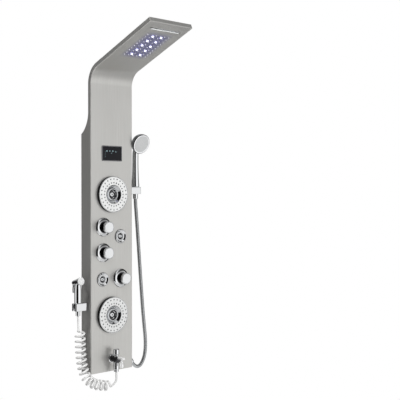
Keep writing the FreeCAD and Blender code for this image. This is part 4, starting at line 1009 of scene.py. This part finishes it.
for name, outline, material, slot, *nodes in (
        # The trim ring is chrome drawn as white plastic: painted bright reflection.
        ("hand_shower_ring", [(34.2, -1.5), (37.6, -1.5), (37.6, 1.3), (37.0, 1.7), (35.4, 1.7), (34.2, 1.0)],
         PAINTED_REFLECTION_TRIM, "chrome", "handset_trim_ring"),
        # The near-black rim is painted dark reflection round the trim ring.
        ("hand_shower_rim", [(37.0, -1.5), (40, -1.5), (40, -0.4), (38.9, 1.2), (37.0, 1.2)], DARK_REFLECTION_CHROME,
         "chrome"),
        ("hand_shower_face", [(0, -1.5), (34.4, -1.5), (34.4, 0.2), (33.4, 0.8), (12, 0.8), (11.4, 0.4),
                              (10.8, 0.8), (0, 0.8)], PALE_GREY, "pale_grey_plastic", "handset_face")):
    fit(turned(name, outline, HEAD_SEAT, HEAD_WAY, material, 0.3, 96), "handset", *nodes, slot=slot)
nozzle_circles("hand_shower_tips", [(31.0, 30), (25.5, 24), (20.0, 18), (15.0, 12), (6.0, 6)],
               HEAD_SEAT, HEAD_WAY, 0.75, "handset")


def hose_nut(name, node, body, x, bottom, top, low_r):
    """Conical nut that seats in a holder."""
    outline = [(0, bottom), (low_r - 0.6, bottom), (low_r, bottom + 1.2), (low_r, bottom + 12),
               (low_r + 0.4, bottom + 18), (12.2, top - 6), (12.2, top), (0, top)]
    fit(turned(name, outline, at(x, HOLD_Y, 0), UP, CHROME), body, node)


hose_nut("hand_shower_nut", "handset_hose_nut", "handset", HOLD_X, HOSE_TOP, HANDLE_LOW, 10.2)
hose_nut("spray_nut", "sprayer_hose_nut", "sprayer", -HOLD_X, COIL_TOP, SPRAY_LOW, 8.6)

# %% [markdown]
# ## Bidet sprayer
# A smaller handle with a short trumpet head. The head is turned about its own tilted axis,
# and two small ears under it hold the lever's pin.

# %% Sprayer
LIFT = math.radians(12)
SPRAY_SEAT = at(-HOLD_X, 57, 346)
SPRAY_WAY = np.array([0, -math.cos(LIFT), math.sin(LIFT)])
spray_handle = [(0, SPRAY_LOW), (12.4, SPRAY_LOW), (13.6, SPRAY_LOW + 2), (13.6, SPRAY_LOW + 50), (12.2, 340),
                (10.5, 348), (0, 352)]
spray_head = [(0, 0), (7, 0), (9.2, 2.5), (11, 22), (14.2, 44), (15, 47), (15, 49.5), (0, 49.5)]
spray_face = [(0, 49.5), (14.6, 49.5), (14.6, 51.0), (13.4, 51.5), (0, 51.5)]
fit(turned("spray_handle", spray_handle, at(-HOLD_X, HOLD_Y, 0), UP, CHROME, 1.2), "sprayer", "sprayer_body")
fit(turned("spray_head", spray_head, SPRAY_SEAT, SPRAY_WAY, CHROME, 1.0), "sprayer")
fit(turned("spray_face", spray_face, SPRAY_SEAT, SPRAY_WAY, PLATE_WHITE, 0.4), "sprayer", "sprayer_face",
    slot="white_plastic")
nozzle_circles("spray_tips", [(10.6, 12), (6.2, 6)], SPRAY_SEAT, SPRAY_WAY, 51.4, "sprayer")
ears = bars("lever_ears", [[-145.3, 337.25, 1.1, 6.75], [-134.7, 337.25, 1.1, 6.75]], 46.5, 7.0, CHROME)
fit(eased(ears, 0.5), "sprayer")
fit(turned("lever_pin", [(0, -6.8), (1.5, -6.8), (1.5, 6.8), (0, 6.8)], at(-HOLD_X, 50, 334), (1, 0, 0), CHROME,
           0.3, 24), "sprayer", "trigger_pin")

# %% [markdown]
# ## Hoses
# Each hose follows the route that the CAD used, written as the control points of an open
# spline. Blender works out the smooth curve, and its points are read back: the metal hose is
# a tube round them whose radius rises and falls with every rib, and the coiled one is a
# helix round them. The length along the points says where each rib and turn comes.

# %% Splines
SPLINE_STEPS = 120


def spline_points(name, controls):
    """Points of an open quadratic NURBS curve with these control points, in metres."""
    curve = bpy.data.curves.new(name, "CURVE")
    curve.dimensions = "3D"
    curve.resolution_u = SPLINE_STEPS
    spline = curve.splines.new("NURBS")
    spline.points.add(len(controls) - 1)
    spline.points.foreach_set("co", np.insert(controls, 3, 1.0, axis=1).reshape(-1))
    spline.order_u = 3
    spline.use_endpoint_u = True
    thing = put(name, curve)
    bpy.context.view_layer.update()
    line = bpy.data.meshes.new_from_object(thing.evaluated_get(bpy.context.evaluated_depsgraph_get()))
    points = np.zeros(len(line.vertices) * 3)
    line.vertices.foreach_get("co", points)
    bpy.data.objects.remove(thing)
    bpy.data.meshes.remove(line)
    return points.reshape(-1, 3)


def evenly(points, spacing):
    """Points of the same line at an even spacing, read between its own points."""
    run = run_along(points)
    at_run = np.linspace(0, run[-1], int(round(run[-1] / spacing)) + 1)
    return np.stack([np.interp(at_run, run, points[:, k]) for k in range(3)], axis=1), at_run


# %% [markdown]
# The metal hose is wound from a profiled strip, so its ribs are broad with narrow grooves.
# A sine raised to a small power has just that form.

# %% Ribbed hose of the hand shower
HOSE_R, RIB, PITCH, RIB_POINTS, RIB_POWER = 7.0, 0.8, 0.0042, 8, 0.55
OUTLET = np.array([106.0, HOLD_Y, 30.0])
OUTLET_DIP = math.radians(51)
OUTLET_WAY = np.array([math.cos(OUTLET_DIP), 0, -math.sin(OUTLET_DIP)])
hose_route = [(140, 664), (140, 642), (144.8, 604), (174, 255), (182.8, 170), (192.8, 90), (189.5, 36), (175.5, 5),
              (158.6, -10.4)]
hose_controls = [at(x, HOLD_Y, z) for x, z in hose_route] + [at(*(OUTLET + out * OUTLET_WAY)) for out in (47, 24)]
hose_line, hose_run = evenly(spline_points("hose_route", hose_controls), PITCH / RIB_POINTS)
rib = np.abs(np.sin(math.pi * hose_run / PITCH)) ** RIB_POWER
hose_metal = Finish("hose_metal", Metallic=1.0)
rub = hose_metal.noise(60, 3)
hose_metal.feed("Base Color", hose_metal.blend(rub, (0.46, 0.47, 0.48), (0.58, 0.59, 0.60)))
hose_metal.feed("Roughness", rub * 0.05 + 0.05)
hose = swept("ribbed_hose", hose_line, (HOSE_R - RIB + RIB * rib) * MM, (0, -1, 0), hose_metal.material, 28)
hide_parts("handset_hose")
at(HOLD_X, HOLD_Y, 0)
at(HOLD_X, HOLD_Y, HOSE_TOP)
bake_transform(hose)
print("hose length", round(float(hose_run[-1]), 4), "faces", len(hose.data.polygons))

# %% [markdown]
# The coil's middle line bends too. Across it the helix uses two directions, one square to the
# line and to the wall's normal and one square to both, so that the turns never twist. The
# radius grows over the first turns and shrinks over the last, and is nothing at the nuts.

# %% Coiled hose of the sprayer
WIRE_R, COIL_R, TURNS, LEAD, EASE_TURNS = 3.8, 17.2, 15, 0.35, 0.75
MIDDLE_STEP, WIRE_STEP = 0.0005, 0.0014
COIL_FROM, COIL_TO = (-131, 27, 168), (-14, -9, -51.5)
coil_route = [(-140, 28, 224), (-140, 28, 216.4), COIL_FROM, (-131, 26, 110), (-130, 21, 55), (-127, 10, 12),
              (-115, 2, -17), (-92, -1, -35), (-62, -2, -46), (-32, -5, -51), COIL_TO, (0, -22, -36),
              (0, -26, -7.6), (0, -26, 0)]


def swell(share):
    """Smooth step 3 s^2 - 2 s^3."""
    return share * share * (3 - 2 * share)


coil_middle, middle_run = evenly(spline_points("coil_route", [at(*p) for p in coil_route]), MIDDLE_STEP)
first, last = (int(np.argmin(np.linalg.norm(coil_middle - at(*p), axis=1))) for p in (COIL_FROM, COIL_TO))
share = (middle_run - middle_run[first]) / (middle_run[last] - middle_run[first])
turn = np.clip(share, 0, 1) * TURNS
ease = np.minimum(1, np.minimum(turn, TURNS - turn) / EASE_TURNS)
lead = np.clip(np.minimum(middle_run / middle_run[first],
                          (middle_run[-1] - middle_run) / (middle_run[-1] - middle_run[last])), 0, 1)
radius = COIL_R * MM * np.where((share < 0) | (share > 1), LEAD * swell(lead), LEAD + (1 - LEAD) * swell(ease))
ahead = tangents(coil_middle)
sideways = unit(np.cross(ROOM, ahead))
angle = (2 * math.pi * turn + math.pi)[:, None]
outward = sideways * np.cos(angle) + np.cross(ahead, sideways) * np.sin(angle)
wire = coil_middle + radius[:, None] * outward
coil_line, coil_run = evenly(wire, WIRE_STEP)
side_dir = np.stack([np.interp(coil_run, run_along(wire), outward[:, k]) for k in range(3)], axis=1)
coil_white = Finish("coil_white")
film = coil_white.noise(40)
coil_white.feed("Base Color", coil_white.blend(film, (0.66, 0.66, 0.655), (0.72, 0.72, 0.715)))
coil_white.feed("Roughness", film * 0.08 + 0.22)
coil = swept("coiled_hose", coil_line, WIRE_R * MM, side_dir, coil_white.material, 16)
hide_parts("sprayer_hose")
at(-HOLD_X, HOLD_Y, 0)
at(-HOLD_X, HOLD_Y, COIL_TOP)
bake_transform(coil)
print("coil length", round(float(coil_run[-1]), 4), "faces", len(coil.data.polygons))

# %% [markdown]
# Each hose ends in a nut, on the elbow and on the spout.

# %% Nuts at the lower ends
outlet_nut = turned("outlet_nut", [(7.1, 6), (9.4, 6), (10.2, 8), (10.2, 20), (8.6, 24), (0, 24), (0, 8), (7.1, 8)],
                    at(*OUTLET), OUTLET_WAY, CHROME, 0.4)
fit(outlet_nut, "column", "hose_end_nuts")
spout_nut = turned("spout_nut", [(0, 0), (7.5, 0), (9.2, 1.6), (9.2, 9), (0, 9)], at(0, SPOUT_Y, 0), UP, CHROME, 0.5)
fit(spout_nut, "column")

# %% [markdown]
# ## Pieces that keep the CAD mesh
# Pipes, valves, nuts and brackets behind the face show only from the wall side. They keep
# their CAD mesh and only take a finish.

# %% Finishes of the hidden pieces
HIDDEN = (
    (RUBBER, "rain_nozzle_mat"), (BOARD, "lamp_board"),
    (BLACK, "rain_water_box", "display_housing", "panel_back_nuts", "hydro_generator"),
    (CAST_BRASS, "valve_cartridges", "valve_manifold", "diverter_block"),
    (PIPE_STEEL, "mixed_water_pipe", "rain_riser", "jet_feed_pipe", "handset_feed_pipe", "spout_feed_pipe"),
    (BRACKET_STEEL, "hanger_rails", "upper_wall_bracket", "lower_wall_bracket"))
for material, *nodes in HIDDEN:
    for node in nodes:
        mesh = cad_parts[node].data
        mesh.materials.clear()
        mesh.materials.append(material)
    print(material.name, "on", len(nodes), "hidden pieces")

# %% [markdown]
# ## Light
# Polished pieces show the room they hang in, so the studio is a ring of white screens and
# dark gaps. `STUDIO` lists its brightness by the angle round the column, counted from the
# camera. Low down it is dimmer, with a soft fill behind for the arm's underside; high up on
# the right it is dark, which shades the tip of the arm, and the ceiling is pale. The camera
# itself sees plain white. A direction is a point of the unit sphere, so its height runs
# from -1 straight down to 1 straight up, and each `rise` says where a change begins and ends.

# %% World, lamps and floor
CAMERA_SIDE, CAMERA_RIGHT = (-0.69, -0.72, 0.0), (0.72, -0.69, 0.0)
STUDIO = [(-180, 0.42), (-140, 0.42), (-126, 0.02), (-82, 0.02), (-75, 1.2), (-50, 1.3), (-45, 0.01),
          (24, 0.01), (31, 1.15), (55, 1.2), (70, 0.98), (104, 0.98), (111, 0.15), (118, 0.02), (142, 0.02),
          (150, 0.42), (180, 0.42)]
FILL, CEILING, WHITE_LIGHT = (0.50,) * 3, (0.7,) * 3, (1.0,) * 3

sky = Finish("studio", "worlds", "Background", Strength=1.0)
bpy.context.scene.world = sky.material
where = sky.coordinates("Generated")
rightward, toward, height = sky.along(where, CAMERA_RIGHT), sky.along(where, CAMERA_SIDE), sky.part(where, "Z")
turn_round = sky.node("ShaderNodeMath", {"operation": "ARCTAN2"}, {0: rightward, 1: toward})
screens = sky.ramp(turn_round * (1 / (2 * math.pi)) + 0.5,
                   *[(degrees / 360 + 0.5, (value,) * 3) for degrees, value in STUDIO])
low_behind = height.rise(-0.22, -0.42) * toward.rise(-0.58, -0.85) * 0.9
low_dimmed = height.rise(-0.75, -0.30) * 0.55 + 0.45
high_right = height.rise(0.13, 0.46) * rightward.rise(0.35, 0.70) * 0.92
room = sky.node("ShaderNodeVectorMath", {"operation": "SCALE"}, {
    0: sky.blend(low_behind, screens, FILL), "Scale": low_dimmed * (1 - high_right)})
room = sky.blend(height.rise(0.85, 0.97), room, CEILING)
sky.feed("Color", sky.blend(sky.node("ShaderNodeLightPath", output="Is Camera Ray"), room, WHITE_LIGHT))

for name, place, target, size, power in (
        ("key", at(-1300, -2300, 1900), at(0, 0, 600), 1.8, 88),
        ("from_above", at(0, -300, 3400), at(0, -100, 0), 2.5, 45),
        ("from_below", at(-450, 450, -950), at(0, -150, 1150), 1.5, 2.5)):
    light = bpy.data.lights.new(name, "AREA")
    light.size, light.energy = size, power
    soft_lamp = put(name, light)
    soft_lamp.location = place
    soft_lamp.rotation_euler = Matrix(np.stack(axes_of(place - target), axis=1).tolist()).to_euler()
    soft_lamp.visible_glossy = name == "from_below"

FLOOR_BELOW, FLOOR_SIDE = 1.6, 6
bpy.ops.mesh.primitive_plane_add(size=FLOOR_SIDE, location=(0, 0, float(cad_box[0][2]) - FLOOR_BELOW))
floor = bpy.context.object
floor.name = "floor"
floor.data.materials.append(Finish("floor", Base_Color=(0.88, 0.88, 0.88), Roughness=0.8).material)
bpy.context.scene.view_settings.view_transform = "Standard"
